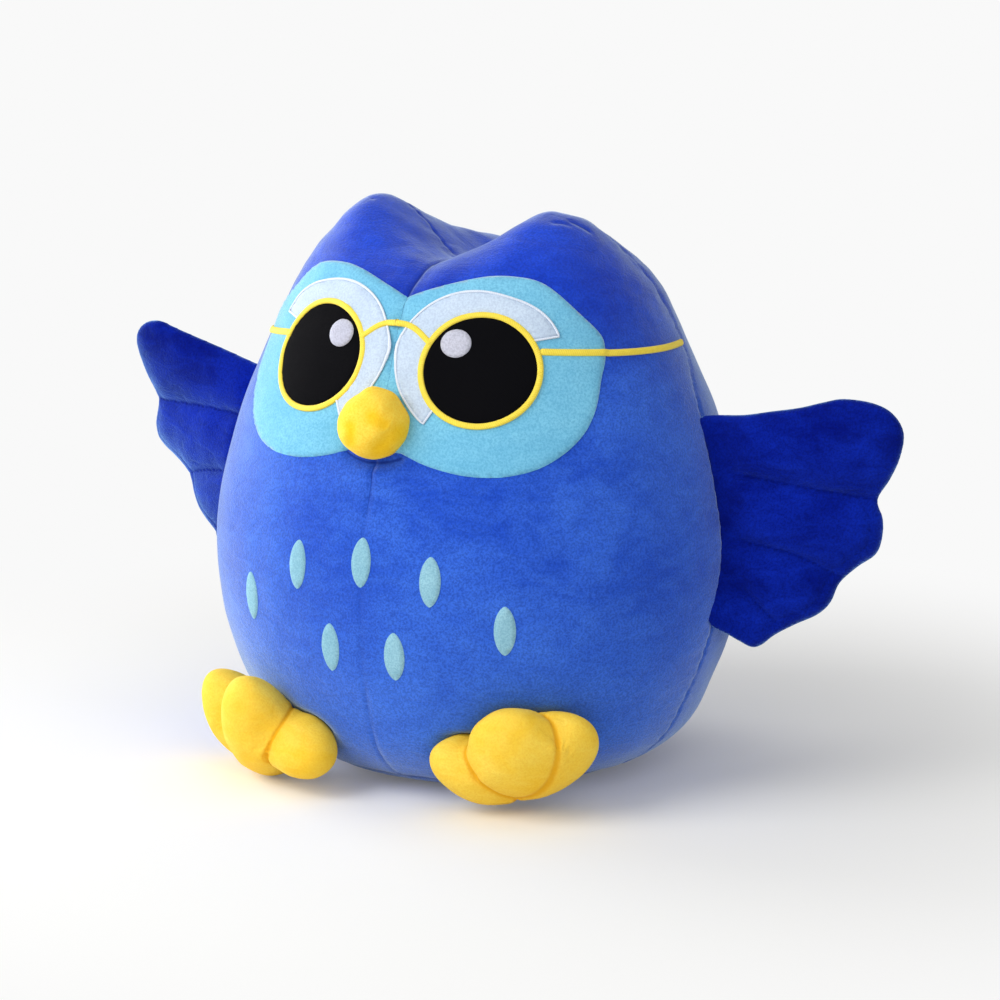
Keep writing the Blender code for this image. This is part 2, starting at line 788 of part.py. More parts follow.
def joined_toes(side, side_name, frame):
    # One closed surface round the three toes
    toes = [make_guide("form_toe_" + side_name + "_" + str(number), toe_mesh("toe", shares, side), frame)
            for number, shares in enumerate(toe_shares, start=1)]
    for other in toes[1:]:
        add_boolean(toes[0], "UNION", other)
    bpy.context.view_layer.update()
    evaluated = toes[0].evaluated_get(bpy.context.evaluated_depsgraph_get())
    joined = bpy.data.meshes.new_from_object(evaluated)
    bm = bmesh.new()
    bm.from_mesh(joined)
    bmesh.ops.remove_doubles(bm, verts=bm.verts, dist=clearance)
    bmesh.ops.dissolve_degenerate(bm, edges=bm.edges, dist=clearance)
    bmesh.ops.triangulate(bm, faces=bm.faces)
    bm.to_mesh(joined)
    bm.free()
    return joined


def build_foot(side, side_name):
    frame = foot_frame()
    if side < 0:
        frame = mirror_frame(frame)
    joined = joined_toes(side, side_name, frame)
    seat = make_guide("cutter_foot_seat_" + side_name, body_mesh("foot_seat", body_columns, body_rows_per_share))
    add_shrink(seat, -clearance)
    seam_frame = body_frame(side * foot_seam_azimuth(), rise_at(foot_seam_height))
    seam = add_empty("foot_" + side_name + "_seam", seam_frame)
    reach = foot_width
    for place, low, high in (("sole", seam_gap / 2, reach), ("top", -reach, -seam_gap / 2)):
        name = "foot_" + side_name + "_" + place
        piece = add_object(name, joined.copy(), owl, frame, (foot_yellow, 0.85))
        add_cloth(piece, limb_cloth, -1)
        corners = [(-reach, low), (reach * 2, low), (reach * 2, high), (-reach, high)]
        cutter_name = "cutter_" + name
        cutter = make_guide(cutter_name, block_mesh(cutter_name, corners, -reach, reach), frame)
        add_boolean(piece, "INTERSECT", cutter)
        add_boolean(piece, "DIFFERENCE", seat)
        hang(piece, seam)
    name = "foot_" + side_name + "_filling"
    filling = add_object(name, joined.copy(), owl, frame, (filling_white, 0.95))
    add_shrink(filling, limb_cloth + stuffing_clearance)
    add_boolean(filling, "DIFFERENCE", seat)
    hang(filling, seam)


def foot_seam_azimuth():
    # The foot hangs from the base seam behind the middle of its heel
    half_width = body_outline(rise_at(foot_seam_height))[0]
    return math.asin(min(foot_heel_side / half_width, 1))


for old in list(bpy.data.objects):
    bpy.data.objects.remove(old)

owl = bpy.data.collections.new("plush_owl")
guides = bpy.data.collections.new("guides")
bpy.context.scene.collection.children.link(owl)
bpy.context.scene.collection.children.link(guides)

body_blue = (0.045, 0.13, 0.62)
wing_blue = (0.012, 0.02, 0.30)
patch_aqua = (0.22, 0.68, 0.86)
mark_aqua = (0.26, 0.68, 0.74)
crescent_lilac = (0.72, 0.74, 0.88)
eye_black = (0.008, 0.008, 0.010)
thread_yellow = (0.85, 0.62, 0.04)
beak_yellow = (1.0, 0.62, 0.02)
foot_yellow = (1.0, 0.64, 0.05)
filling_white = (0.86, 0.86, 0.84)

body_form = make_guide("form_body", body_mesh("form_body", form_columns, form_rows_per_share))
body_form.data.shade_smooth()
build_body()
for owl_side_name, owl_side in side_signs.items():
    build_face(owl_side, owl_side_name)
    build_wing(owl_side, owl_side_name)
    build_foot(owl_side, owl_side_name)
build_bridge()
build_marks()
build_beak()
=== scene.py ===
import math

import bmesh
import bpy
from mathutils import Matrix, Vector, noise
from mathutils.bvhtree import BVHTree


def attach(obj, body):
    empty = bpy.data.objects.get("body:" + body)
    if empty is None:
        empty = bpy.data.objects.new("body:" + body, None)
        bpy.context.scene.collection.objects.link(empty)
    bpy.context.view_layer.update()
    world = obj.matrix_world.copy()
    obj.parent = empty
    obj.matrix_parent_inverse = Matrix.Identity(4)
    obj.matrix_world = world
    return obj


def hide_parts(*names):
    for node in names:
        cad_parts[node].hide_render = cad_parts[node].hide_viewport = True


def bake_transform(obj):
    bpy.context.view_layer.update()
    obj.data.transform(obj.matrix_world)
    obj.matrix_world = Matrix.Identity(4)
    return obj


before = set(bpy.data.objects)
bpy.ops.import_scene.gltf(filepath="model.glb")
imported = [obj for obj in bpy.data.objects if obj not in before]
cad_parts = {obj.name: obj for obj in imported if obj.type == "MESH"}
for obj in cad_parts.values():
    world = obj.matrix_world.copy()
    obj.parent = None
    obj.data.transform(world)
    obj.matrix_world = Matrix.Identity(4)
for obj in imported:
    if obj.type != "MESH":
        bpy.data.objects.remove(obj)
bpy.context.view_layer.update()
mm = 0.001
labels = {1: "left", -1: "right"}  # the owl's own left is +X


# Shader maths: a wired socket takes part in plain expressions

def operator(operation):
    return lambda wire, other: wire.maths(operation, wire, other)


def reflected(operation):
    return lambda wire, other: wire.maths(operation, other, wire)


class Wire:
    def __init__(self, nodes, socket):
        self.nodes = nodes
        self.socket = socket

    def maths(self, operation, first, second=0.0):
        return self.nodes.node("ShaderNodeMath", {"operation": operation}, {0: first, 1: second})

    __add__, __radd__ = operator("ADD"), operator("ADD")
    __sub__, __rsub__ = operator("SUBTRACT"), reflected("SUBTRACT")
    __mul__, __rmul__ = operator("MULTIPLY"), operator("MULTIPLY")
    __pow__, __rpow__ = operator("POWER"), reflected("POWER")

    def sine(self):
        return self.maths("SINE", self)

    def above(self, low, high):
        # 0 below low, 1 above high, and smooth between them
        return self.nodes.node("ShaderNodeMapRange", {"interpolation_type": "SMOOTHSTEP"},
                               {"Value": self, "From Min": low, "From Max": high})


class Nodes:
    # A node tree, where one method adds each node with its settings and its sockets' values or links
    def __init__(self, tree):
        self.tree = tree

    def node(self, kind, settings=None, inputs=None, output=0):
        node = self.tree.nodes.new(kind)
        for name, value in (settings or {}).items():
            setattr(node, name, value)
        for name, value in (inputs or {}).items():
            self.feed(node.inputs[name], value)
        return node if output is None else Wire(self, node.outputs[output])

    def feed(self, socket, value):
        if isinstance(value, Wire):
            self.tree.links.new(value.socket, socket)
        else:
            socket.default_value = (*value, 1) if socket.type == "RGBA" else value

    def seen(self):
        # 1 for rays that come from the camera, or through a gloss or glass
        path = self.node("ShaderNodeLightPath", output=None)
        straight, gloss, through = (Wire(self, path.outputs["Is " + kind + " Ray"])
                                    for kind in ("Camera", "Glossy", "Transmission"))
        return (straight + gloss + through).above(0.0, 1.0)


class Finish(Nodes):
    # One material: its Principled shader, its Object coordinates and the nodes added to them
    def __init__(self, name, **constants):
        self.material = bpy.data.materials.new(name)
        self.material.use_nodes = True
        super().__init__(self.material.node_tree)
        self.shader = self.tree.nodes["Principled BSDF"]
        for socket, value in constants.items():
            self.shader.inputs[socket.replace("_", " ")].default_value = value
        self.place = self.node("ShaderNodeTexCoord", output="Object")
        self.x, self.y, self.z = self.split(self.place)

    def split(self, place):
        axes = self.node("ShaderNodeSeparateXYZ", inputs={0: place}, output=None)
        return [Wire(self, axes.outputs[axis]) for axis in "XYZ"]

    def seamMap(self):
        # The piece's own map: the run along its nearest seam, and how far that seam is
        return self.split(self.node("ShaderNodeTexCoord", output="UV"))[:2]

    def noise(self, size, detail=2.0, roughness=0.5, stretch=(1, 1, 1), distortion=0.0):
        # Noise whose features are about size across
        place = self.node("ShaderNodeMapping", inputs={"Vector": self.place, "Scale": stretch})
        return self.node("ShaderNodeTexNoise", inputs={
            "Vector": place, "Scale": 1 / size, "Detail": detail, "Roughness": roughness,
            "Distortion": distortion})

    def blend(self, share, first, second):
        return self.node("ShaderNodeMix", {"data_type": "RGBA", "blend_type": "MIX", "clamp_factor": True},
                         {0: share, 6: first, 7: second}, output=2)

    def bump(self, height, depth, over=None):
        inputs = {"Height": height, "Distance": depth, "Strength": 1.0}
        if over is not None:
            inputs["Normal"] = over
        return self.node("ShaderNodeBump", inputs=inputs)

    def end(self, **varying):
        for socket, value in varying.items():
            self.feed(self.shader.inputs[socket.replace("_", " ")], value)
        return self.material


cloth = {
    "patches": 46 * mm, "strokes": 9 * mm, "relief": 1.1 * mm,
    # The dark line of a seam or crease, partly the sewn joint and partly painted shade in its groove: where
    # it starts and stops to fade, and how far the painted shade on the cloth beside it reaches
    "line": (0.2 * mm, 1.1 * mm), "beside": 5 * mm,
}


def plushFinish(name, deep, pale, dark, grain=1.0 * mm, grainDepth=0.26 * mm, sheen=0.3, bloom=0.34,
                contrast=0.44, tint=(0.6, 0.7, 1.0), seam=0.0, stitch=0.0, shade=None):
    # Short-pile cloth: brushed patches and strokes, fine pile, a soft sheen, and dark lines where it is sewn
    # or creased, partly the seam itself and partly painted shade, with painted shade on the cloth beside them
    finish = Finish(name, Sheen_Weight=sheen, Sheen_Roughness=bloom, Sheen_Tint=(*tint, 1), Metallic=0.0,
                    Specular_IOR_Level=0.04)
    brushed = finish.noise(cloth["patches"], 3.0, 0.55, distortion=0.5)
    strokes = finish.noise(cloth["strokes"], 3.0, 0.66, stretch=(0.45, 0.45, 1.0), distortion=0.8)
    pile = finish.noise(grain, 3.0, 0.62)
    nap = brushed.above(0.34, 0.68) * 0.55 + strokes.above(0.30, 0.72) * 0.45
    colour = finish.blend(nap, deep, pale)
    if shade is not None:
        colour = shade(finish, colour, nap)
    colour = finish.blend(pile.above(0.34, 0.64) * contrast + (1 - contrast), dark, colour)
    height = pile
    if seam:
        run, away = finish.seamMap()
        line = 1 - away.above(*cloth["line"])
        if stitch:
            line = line * ((run * (2 * math.pi / stitch)).sine().above(-0.75, 0.1) * 0.65 + 0.35)
        # Painted shade: the line darkens the cloth partly as the sewn joint and partly as shade in its
        # groove, and the band beside it is painted shade only
        beside = 1 - away.above(0.0, cloth["beside"])
        colour = finish.blend(line * seam + beside * seam * 0.25, colour, dark)
        height = pile * (1 - line)
    ridges = finish.bump(brushed * 0.5 + strokes * 0.5, cloth["relief"])
    return finish.end(Base_Color=colour, Roughness=0.98 - nap * 0.10,
                      Normal=finish.bump(height, grainDepth, over=ridges))


def threadFinish(name, colour, dark):
    # Satin stitch: the map's U runs along the band, and each thread crosses it aslant
    spacing, sway, depth = 0.95 * mm, 0.7 * mm, 0.12 * mm
    finish = Finish(name, Sheen_Weight=0.12, Sheen_Roughness=0.4, Metallic=0.0, Specular_IOR_Level=0.22)
    run, across = finish.seamMap()
    uneven = finish.noise(2.0 * mm)
    thread = (((run + across * 0.35 + uneven * sway) * (2 * math.pi / spacing)).sine() * 0.5 + 0.5) ** 0.6
    mixed = finish.blend(thread * 0.4 + uneven * 0.4 + 0.3, dark, colour)
    return finish.end(Base_Color=mixed, Roughness=0.72 - thread * 0.12,
                      Normal=finish.bump(thread + uneven, depth))


# Body

body = {
    "width": 0.273, "height": 0.260, "lowFront": 0.876, "highFront": 0.706, "back": 0.914,
    "outline": [(0.0, 0.0), (0.425, 0.0), (0.634, 0.031), (0.808, 0.096), (0.905, 0.192), (0.975, 0.308),
                (1.0, 0.461), (0.942, 0.616), (0.835, 0.769), (0.690, 0.921), (0.555, 0.976), (0.380, 0.998),
                (0.190, 1.0), (0.0, 1.0)],
    "columns": 360, "rings": 260,
    "tuftRise": {1: 20.3 * mm, -1: 23.4 * mm}, "tuftSpread": 104 * mm, "tuftForward": 7 * mm,
    "tuftFlat": {1: 4.5 * mm, -1: 0.0}, "tuftWidth": {1: 25.5 * mm, -1: 27 * mm}, "tuftDepth": 36 * mm,
    "tuftFoot": 0.82, "tuftFull": 0.97,
    # The valley between the tufts: its depth, middle, half width and half length
    "valley": 8.0 * mm, "valleyX": -4 * mm, "valleyY": 18 * mm,
    "valleyWidth": 15 * mm, "valleyLength": 42 * mm,
    # In millimetres, the Y of the seam over the head at each distance from the middle
    "topSeam": [(0, -8), (15, -3), (27, 2), (37, 4), (52, 7), (70, 13), (85, 19), (95, 23), (101, 25),
                (140, 40)],
    # In millimetres, the Y of the side seam at each height
    "sideSeam": [(0, -11.7), (95, 0), (134.5, 4.85), (170, 9.2), (183, 11.5), (195, 15), (205, 19.5),
                 (215, 24.5), (300, 40)],
    # How plainly the middle seam of the front shows at each height in millimetres
    "frontSeam": [(0, 0.55), (35, 0.5), (75, 0.2), (138, 0.2), (152, 0.65), (164, 0.7), (175, 0.4),
                  (235, 1.0), (300, 1.0)],
    "seamWidth": 1.5 * mm, "seamDepth": 1.3 * mm, "baseSeam": 7 * mm,
    # The heights between which the side seam becomes the one over the head, and where its run is counted in X
    "seamTurn": (0.200, 0.232), "overHead": 240 * mm,
    # How deep the seams sink, in shares of the depth; the side's sinks more beside the wings
    "backSunk": 0.8, "baseSunk": 0.8, "puckerSunk": 0.9, "sideSunk": 0.65,
    "wingSunk": 0.35, "wingLevel": 0.15, "wingSpan": 0.055,
    # How far ahead of the side seam the front is fully reached, and the radius of the base seam's run
    "frontFull": 6 * mm, "baseRadius": 0.1,
    # The share by which all seams sink varies along them: its middle, its change, and the change's size
    "drawn": 0.75, "drawnVaries": 0.5, "drawnSize": 9 * mm,
    # How much further away a weak seam reads on the map, where it is chosen and where it is drawn
    "weakChosen": 1.2 * mm, "weakDrawn": 1.3 * mm,
    # How far the columns gather at the seams, and how near the tuck they are made finer
    "gather": 0.15, "tuckFine": 6 * mm,
    # The heights between which the head turns deeper, painted shade for the weaker sheen of its pile, and up
    # to which the foot of the body turns paler, painted light
    "headPaintedShade": (0.190, 0.252), "lowPaintedLight": 0.14,
    # The unevenness of the filling: depth and size
    "uneven": [(0.8 * mm, 46 * mm), (0.25 * mm, 17 * mm)],
    # Loose folds over the head, stretched across it and falling to its sides, and where they come in
    "headFolds": 0.7 * mm, "foldSize": 11 * mm, "foldStretch": 0.45, "foldFall": 0.3,
    "foldsFrom": (0.205, 0.245),
    # Beside the seam over the head the cloth sinks, and ripples along it, and it sinks again in the middle
    "seamSink": 0.4 * mm, "sinkWidth": 7 * mm, "sinkFrom": (0.20, 0.25),
    "ripples": 0.22 * mm, "rippleWidth": 6 * mm, "rippleRun": 1.15 * mm,
    "rippleDrift": 3, "driftSize": 12 * mm,
    "middleSink": 2.2 * mm, "middleWidth": 8 * mm, "middleFrom": (0.236, 0.256),
    # The tuck below the beak: its place, height, half length, bow radius, depth and width, and its bulge
    "tuckPlace": -1.5 * mm, "tuckHeight": 167.2 * mm, "tuckHalf": 15 * mm, "tuckBow": 36 * mm,
    "tuckDepth": 1.1 * mm, "tuckWidth": 2.4 * mm,
    "tuckBulge": 1.1 * mm, "bulgeBelow": 4.5 * mm, "bulgeWidth": 3.2 * mm,
    # Short puckers where the seam gathers at the tips of the tufts, in millimetres, all above puckersFrom
    "puckersFrom": 0.26,
    "puckers": [((54, -18, 277), (61, -15, 276)), ((60, -12, 277), (68, -8, 272)),
                ((-50, -14, 281), (-57, -9, 279))],
}


def readLine(points, place):
    # A smooth curve through the points, read at a place counted in points
    last = len(points) - 1
    index = min(int(place), last - 1)
    t = place - index
    before, start = Vector(points[max(index - 1, 0)]), Vector(points[index])
    end, after = Vector(points[index + 1]), Vector(points[min(index + 2, last)])
    curve = start * (2 * t ** 3 - 3 * t ** 2 + 1) + end * (3 * t ** 2 - 2 * t ** 3)
    return curve + (end - before) / 2 * (t ** 3 - 2 * t ** 2 + t) + (after - start) / 2 * (t ** 3 - t ** 2)


def readTable(table, value):
    for (low, first), (high, second) in zip(table, table[1:]):
        if value <= high:
            return first + (second - first) * (value - low) / (high - low)
    return table[-1][1]


def fade(value, low, high):
    t = min(max((value - low) / (high - low), 0), 1)
    return t * t * (3 - 2 * t)


def bell(value, width):
    return math.exp(-(value / width) ** 2)


def facing(turn, tilt):
    # Right, up and out of a plane that faces ahead, turned towards the owl's left and tilted up
    right = Vector((math.cos(turn), math.sin(turn), 0))
    out = Vector((math.sin(turn) * math.cos(tilt), -math.cos(turn) * math.cos(tilt), math.sin(tilt)))
    return right, out.cross(right), out


def frameOf(axes, centre):
    placed = Matrix(axes).transposed().to_4x4()
    placed.translation = centre
    return placed


def search(low, high, short):
    # The place between low and high up to which short(place) holds
    for step in range(40):
        middle = (low + high) / 2
        if short(middle):
            low = middle
        else:
            high = middle
    return low


def edgeDistance(point, loop):
    # How far a closed line is, or a single edge where two points are given
    best = 1.0
    for index, end in enumerate(loop):
        start = loop[index - 1]
        along = end - start
        t = min(max((point - start).dot(along) / max(along.length_squared, 1e-12), 0), 1)
        best = min(best, (point - start - along * t).length)
    return best


def profile(rise):
    # The body's half width and height at a rise, as shares; rise runs from the base's centre to the crown
    return readLine(body["outline"], rise * (len(body["outline"]) - 1))


def bodyPoint(azimuth, rise):
    # Azimuth 0 is the middle of the front
    share = profile(rise)
    half, height = max(share.x, 0) * body["width"] / 2, min(max(share.y, 0), 1) * body["height"]
    level = height / body["height"]
    front = body["lowFront"] + (body["highFront"] - body["lowFront"]) * level
    x = half * math.sin(azimuth)
    y = -half * math.cos(azimuth) * (front if math.cos(azimuth) > 0 else body["back"])
    side = 1 if x > 0 else -1
    beside = max(abs(abs(x) - body["tuftSpread"] / 2) - body["tuftFlat"][side], 0)
    across = bell(beside, body["tuftWidth"][side])
    along = bell(y + body["tuftForward"], body["tuftDepth"])
    top = fade(level, body["tuftFoot"], body["tuftFull"])
    tuft = body["tuftRise"][side] * across * along
    tuft -= (body["valley"] * bell(x - body["valleyX"], body["valleyWidth"])
             * bell(y - body["valleyY"], body["valleyLength"]))
    return Vector((x, y, height + tuft * top))


def riseAt(height):
    # The rise at which the plain body, without its tufts, is this high
    lowest = 1 / (len(body["outline"]) - 1)
    return search(lowest, 1.0, lambda rise: profile(rise).y * body["height"] < height)


def bodyFrame(azimuth, rise):
    # X towards the owl's left, Y up the slope, Z out of the cloth
    turn, step = math.radians(0.5), 0.002
    right = (bodyPoint(azimuth + turn, rise) - bodyPoint(azimuth - turn, rise)).normalized()
    upward = bodyPoint(azimuth, rise + step) - bodyPoint(azimuth, rise - step)
    outward = right.cross(upward).normalized()
    return frameOf((right, outward.cross(right), outward), bodyPoint(azimuth, rise))


def sideSeamY(point):
    # The Y of the seam between front and back, beside or above a point of the body
    low = readTable(body["sideSeam"], point.z / mm) * mm
    high = readTable(body["topSeam"], abs(point.x) / mm) * mm
    return low + (high - low) * fade(point.z, *body["seamTurn"])


def tuckAway(point):
    # How far the tuck below the beak is, as a bow that rises to its ends
    if point.y > 0:
        return 1.0
    across = point.x - body["tuckPlace"]
    line = body["tuckHeight"] + across * across / (2 * body["tuckBow"])
    return math.hypot(point.z - line, max(abs(across) - body["tuckHalf"], 0))


def bodySeams(point):
    # Each seam near a point: how far it is, how deep it sinks there, and the run along it
    behind = point.y - sideSeamY(point)
    front = fade(-behind, 0, body["frontFull"])
    low = readTable(body["frontSeam"], point.z / mm)
    side = body["sideSunk"] + body["wingSunk"] * bell(point.z - body["wingLevel"], body["wingSpan"])
    seams = [(abs(behind), side, point.x if point.z > body["overHead"] else point.z)]
    if point.z > body["baseSeam"]:
        seams.append((abs(point.x), low * front + body["backSunk"] * (1 - front), point.y))
    around = math.atan2(point.y, point.x) * body["baseRadius"]
    seams.append((abs(point.z - body["baseSeam"]), body["baseSunk"], around))
    if point.z > body["puckersFrom"] and point.y < 0:
        for start, end in body["puckers"]:
            away = edgeDistance(point, [Vector(start) * mm, Vector(end) * mm])
            seams.append((away, body["puckerSunk"], point.x))
    return seams


def bodyRelief(point):
    # Sunk seams with loose cloth beside them, soft unevenness of the filling, and the tuck below the beak
    drawn = body["drawn"] + body["drawnVaries"] * noise.noise(point / body["drawnSize"])
    relief = sum(depth * noise.noise(point / size) for depth, size in body["uneven"])
    fallen = point.z - body["foldFall"] * abs(point.x)
    folds = noise.noise(Vector((point.x * body["foldStretch"], point.y, fallen)) / body["foldSize"])
    relief += body["headFolds"] * folds * fade(point.z, *body["foldsFrom"])
    for away, strength, run in bodySeams(point):
        relief -= body["seamDepth"] * bell(away, body["seamWidth"]) * drawn * strength
    behind = point.y - sideSeamY(point)
    relief -= body["seamSink"] * bell(behind, body["sinkWidth"]) * fade(point.z, *body["sinkFrom"])
    front = fade(-behind, 0, body["frontFull"])
    middle = bell(point.x, body["middleWidth"])
    relief -= body["middleSink"] * middle * fade(point.z, *body["middleFrom"]) * front
    run = point.x if point.z > body["overHead"] else point.z
    drift = body["rippleDrift"] * noise.noise(point / body["driftSize"])
    relief += body["ripples"] * bell(behind, body["rippleWidth"]) * math.sin(run / body["rippleRun"] + drift)
    relief -= body["tuckDepth"] * bell(tuckAway(point), body["tuckWidth"])
    if point.y < 0:
        across = bell(point.x - body["tuckPlace"], body["tuckHalf"])
        below = point.z - body["tuckHeight"] + body["bulgeBelow"]
        relief += body["tuckBulge"] * bell(below, body["bulgeWidth"]) * across
    return relief


def seamPlace(point):
    # Where a point stands on the seam map: weak seams read as further away, so they draw a fainter line. The
    # line is partly the sewn joint and partly painted shade; along the tuck below the beak and the puckers it
    # is painted shade only
    def chosen(seam):
        return seam[0] + (1 - seam[1]) * body["weakChosen"]

    away, strength, run = min(bodySeams(point), key=chosen)
    away += (1 - min(strength, 1)) * body["weakDrawn"]
    return run, min(away, tuckAway(point))


def mapSeams(bm, spots):
    # Gives each vertex its spot on the piece's own map
    layer = bm.loops.layers.uv.new("seams")
    for vert, spot in spots.items():
        for loop in vert.link_loops:
            loop[layer].uv = spot


def addPiece(name, bm, material, rides):
    mesh = bpy.data.meshes.new(name)
    bm.to_mesh(mesh)
    bm.free()
    mesh.materials.append(material)
    mesh.shade_smooth()
    piece = bpy.data.objects.new(name, mesh)
    bpy.context.scene.collection.objects.link(piece)
    if rides:
        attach(piece, rides)
    return piece


def moveOut(bm, amount):
    # Moves every vertex along its normal by amount(place)
    bm.normal_update()
    moved = [(vert, vert.normal * amount(vert.co)) for vert in bm.verts]
    for vert, step in moved:
        vert.co += step


def smooth(bm, verts, turns):
    for turn in range(turns):
        bmesh.ops.smooth_vert(bm, verts=verts, factor=0.5, use_axis_x=True, use_axis_y=True, use_axis_z=True)


# Feet: three stuffed toes each, whose finished skins also press into the body

foot = {
    "azimuth": math.radians(29.5), "lean": math.radians(29), "width": 80 * mm, "voxel": 1.4 * mm,
    # Each foot's place beside and ahead of the middle, and how high the toes' plain ellipsoids stand
    "places": {1: (64 * mm, 72 * mm, 1.6 * mm), -1: (58 * mm, 77 * mm, -2.2 * mm)},
    # Each toe in shares of the foot's width: across, up and out, half length, half width and half depth;
    # then its fan angle in degrees, and how it widens upwards
    "toes": {1: [(-0.230, 0.240, -0.040, 0.345, 0.205, 0.185, 62, 0.0),
                 (0.0, 0.495, 0.035, 0.330, 0.298, 0.185, 34, 0.08),
                 (0.205, 0.376, -0.025, 0.375, 0.228, 0.190, -36, 0.28)],
             -1: [(-0.345, 0.165, 0.060, 0.290, 0.195, 0.205, 100, 0.0),
                  (-0.015, 0.290, 0.140, 0.430, 0.275, 0.205, 20, -0.06),
                  (0.405, 0.220, 0.080, 0.350, 0.220, 0.200, -22, 0.10)]},
    # The skin is drawn back all over and filled where two toes meet, smoothed, and then blown up
    "cutBack": 0.9 * mm, "filled": 1.5 * mm, "fillWidth": 3.5 * mm, "smoothings": 10,
    "pressure": 24.0, "swell": 2.4 * mm,
    "creaseWidth": 1.0 * mm, "creaseDepth": 1.0 * mm, "uneven": 0.35 * mm, "unevenSize": 11 * mm,
    # How two toes' gaps at a point give its distance from their crease, and the share of that by which the
    # crease's painted shade is drawn
    "gapShare": 0.7, "creaseShadeShare": 0.8,
    # How high the skin's lowest point stands over the floor, at least
    "lowest": 0.2 * mm,
    # How clear of the feet the body's cloth lies, and how near a foot it is pressed and smoothed
    "clear": 0.5 * mm, "pressNear": 9 * mm, "pressStep": 0.3 * mm,
    "pressBelow": 80 * mm, "pressAhead": 20 * mm,
}


def toeMatrix(toe):
    across, up, out, length, half, thick, fan, widening = toe
    size = Matrix.Diagonal((half, length, thick, 1 / foot["width"])) * foot["width"]
    place = Matrix.Translation(Vector((across, up, out)) * foot["width"])
    return place @ Matrix.Rotation(math.radians(fan), 4, "Z") @ size


def footFrame(side):
    # X outwards, Y up the sole, Z out of the sole; the right foot is built on the left and mirrored later
    beside, ahead, gap = foot["places"][side]
    placed = frameOf(facing(foot["azimuth"], -foot["lean"]), (beside, -ahead, 0))
    lowest = 1.0
    for toe in foot["toes"][side]:
        whole = placed @ toeMatrix(toe)
        lowest = min(lowest, whole.translation.z - Vector(whole[2][:3]).length)
    placed.translation.z = gap - lowest
    return placed


def toeGaps(point, shapes):
    # How far the nearest toe and the next one are from a point of the skin
    point = Vector((abs(point.x), point.y, point.z))
    gaps = []
    for toe, inverse in shapes:
        local = inverse @ point
        local.x /= 1 + toe[7] * min(max(local.y, -1), 1)
        gaps.append((local.length - 1) * toe[4] * foot["width"])
    return sorted(gaps)[:2]


def puff(piece, pressure, most, held=None):
    # Blows the sewn cover up as cloth; held is what stays fast, and no point moves further than most
    frames = 20
    mesh = piece.data
    before = [vert.co.copy() for vert in mesh.vertices]
    skin = piece.modifiers.new("stuffing", "CLOTH")
    settings = skin.settings
    settings.quality = 6
    settings.mass = 0.003
    settings.air_damping = 1.0
    settings.tension_stiffness = settings.compression_stiffness = 3.0
    settings.shear_stiffness = 1.5
    settings.bending_stiffness = 0.05
    settings.use_pressure = True
    settings.uniform_pressure_force = pressure
    settings.effector_weights.gravity = 0
    skin.collision_settings.use_collision = False
    if held:
        group = piece.vertex_groups.new(name="sewnFast")
        for index, weight in enumerate(held):
            if weight > 0.01:
                group.add([index], weight, "REPLACE")
        settings.vertex_group_mass = group.name
    skin.point_cache.frame_start, skin.point_cache.frame_end = 1, frames
    for step in range(1, frames + 1):
        bpy.context.scene.frame_set(step)
    blown = piece.evaluated_get(bpy.context.evaluated_depsgraph_get()).data
    after = [vert.co.copy() for vert in blown.vertices]
    piece.modifiers.remove(skin)
    piece.vertex_groups.clear()
    bpy.context.scene.frame_set(1)
    longest = 0
    for vert, start, end in zip(mesh.vertices, before, after):
        step = end - start
        longest = max(longest, step.length)
        vert.co = start + step * min(1, most / max(step.length, 1e-9))
    print(piece.name, "moved by up to", round(longest / mm, 2), "mm, held to", round(most / mm, 2))


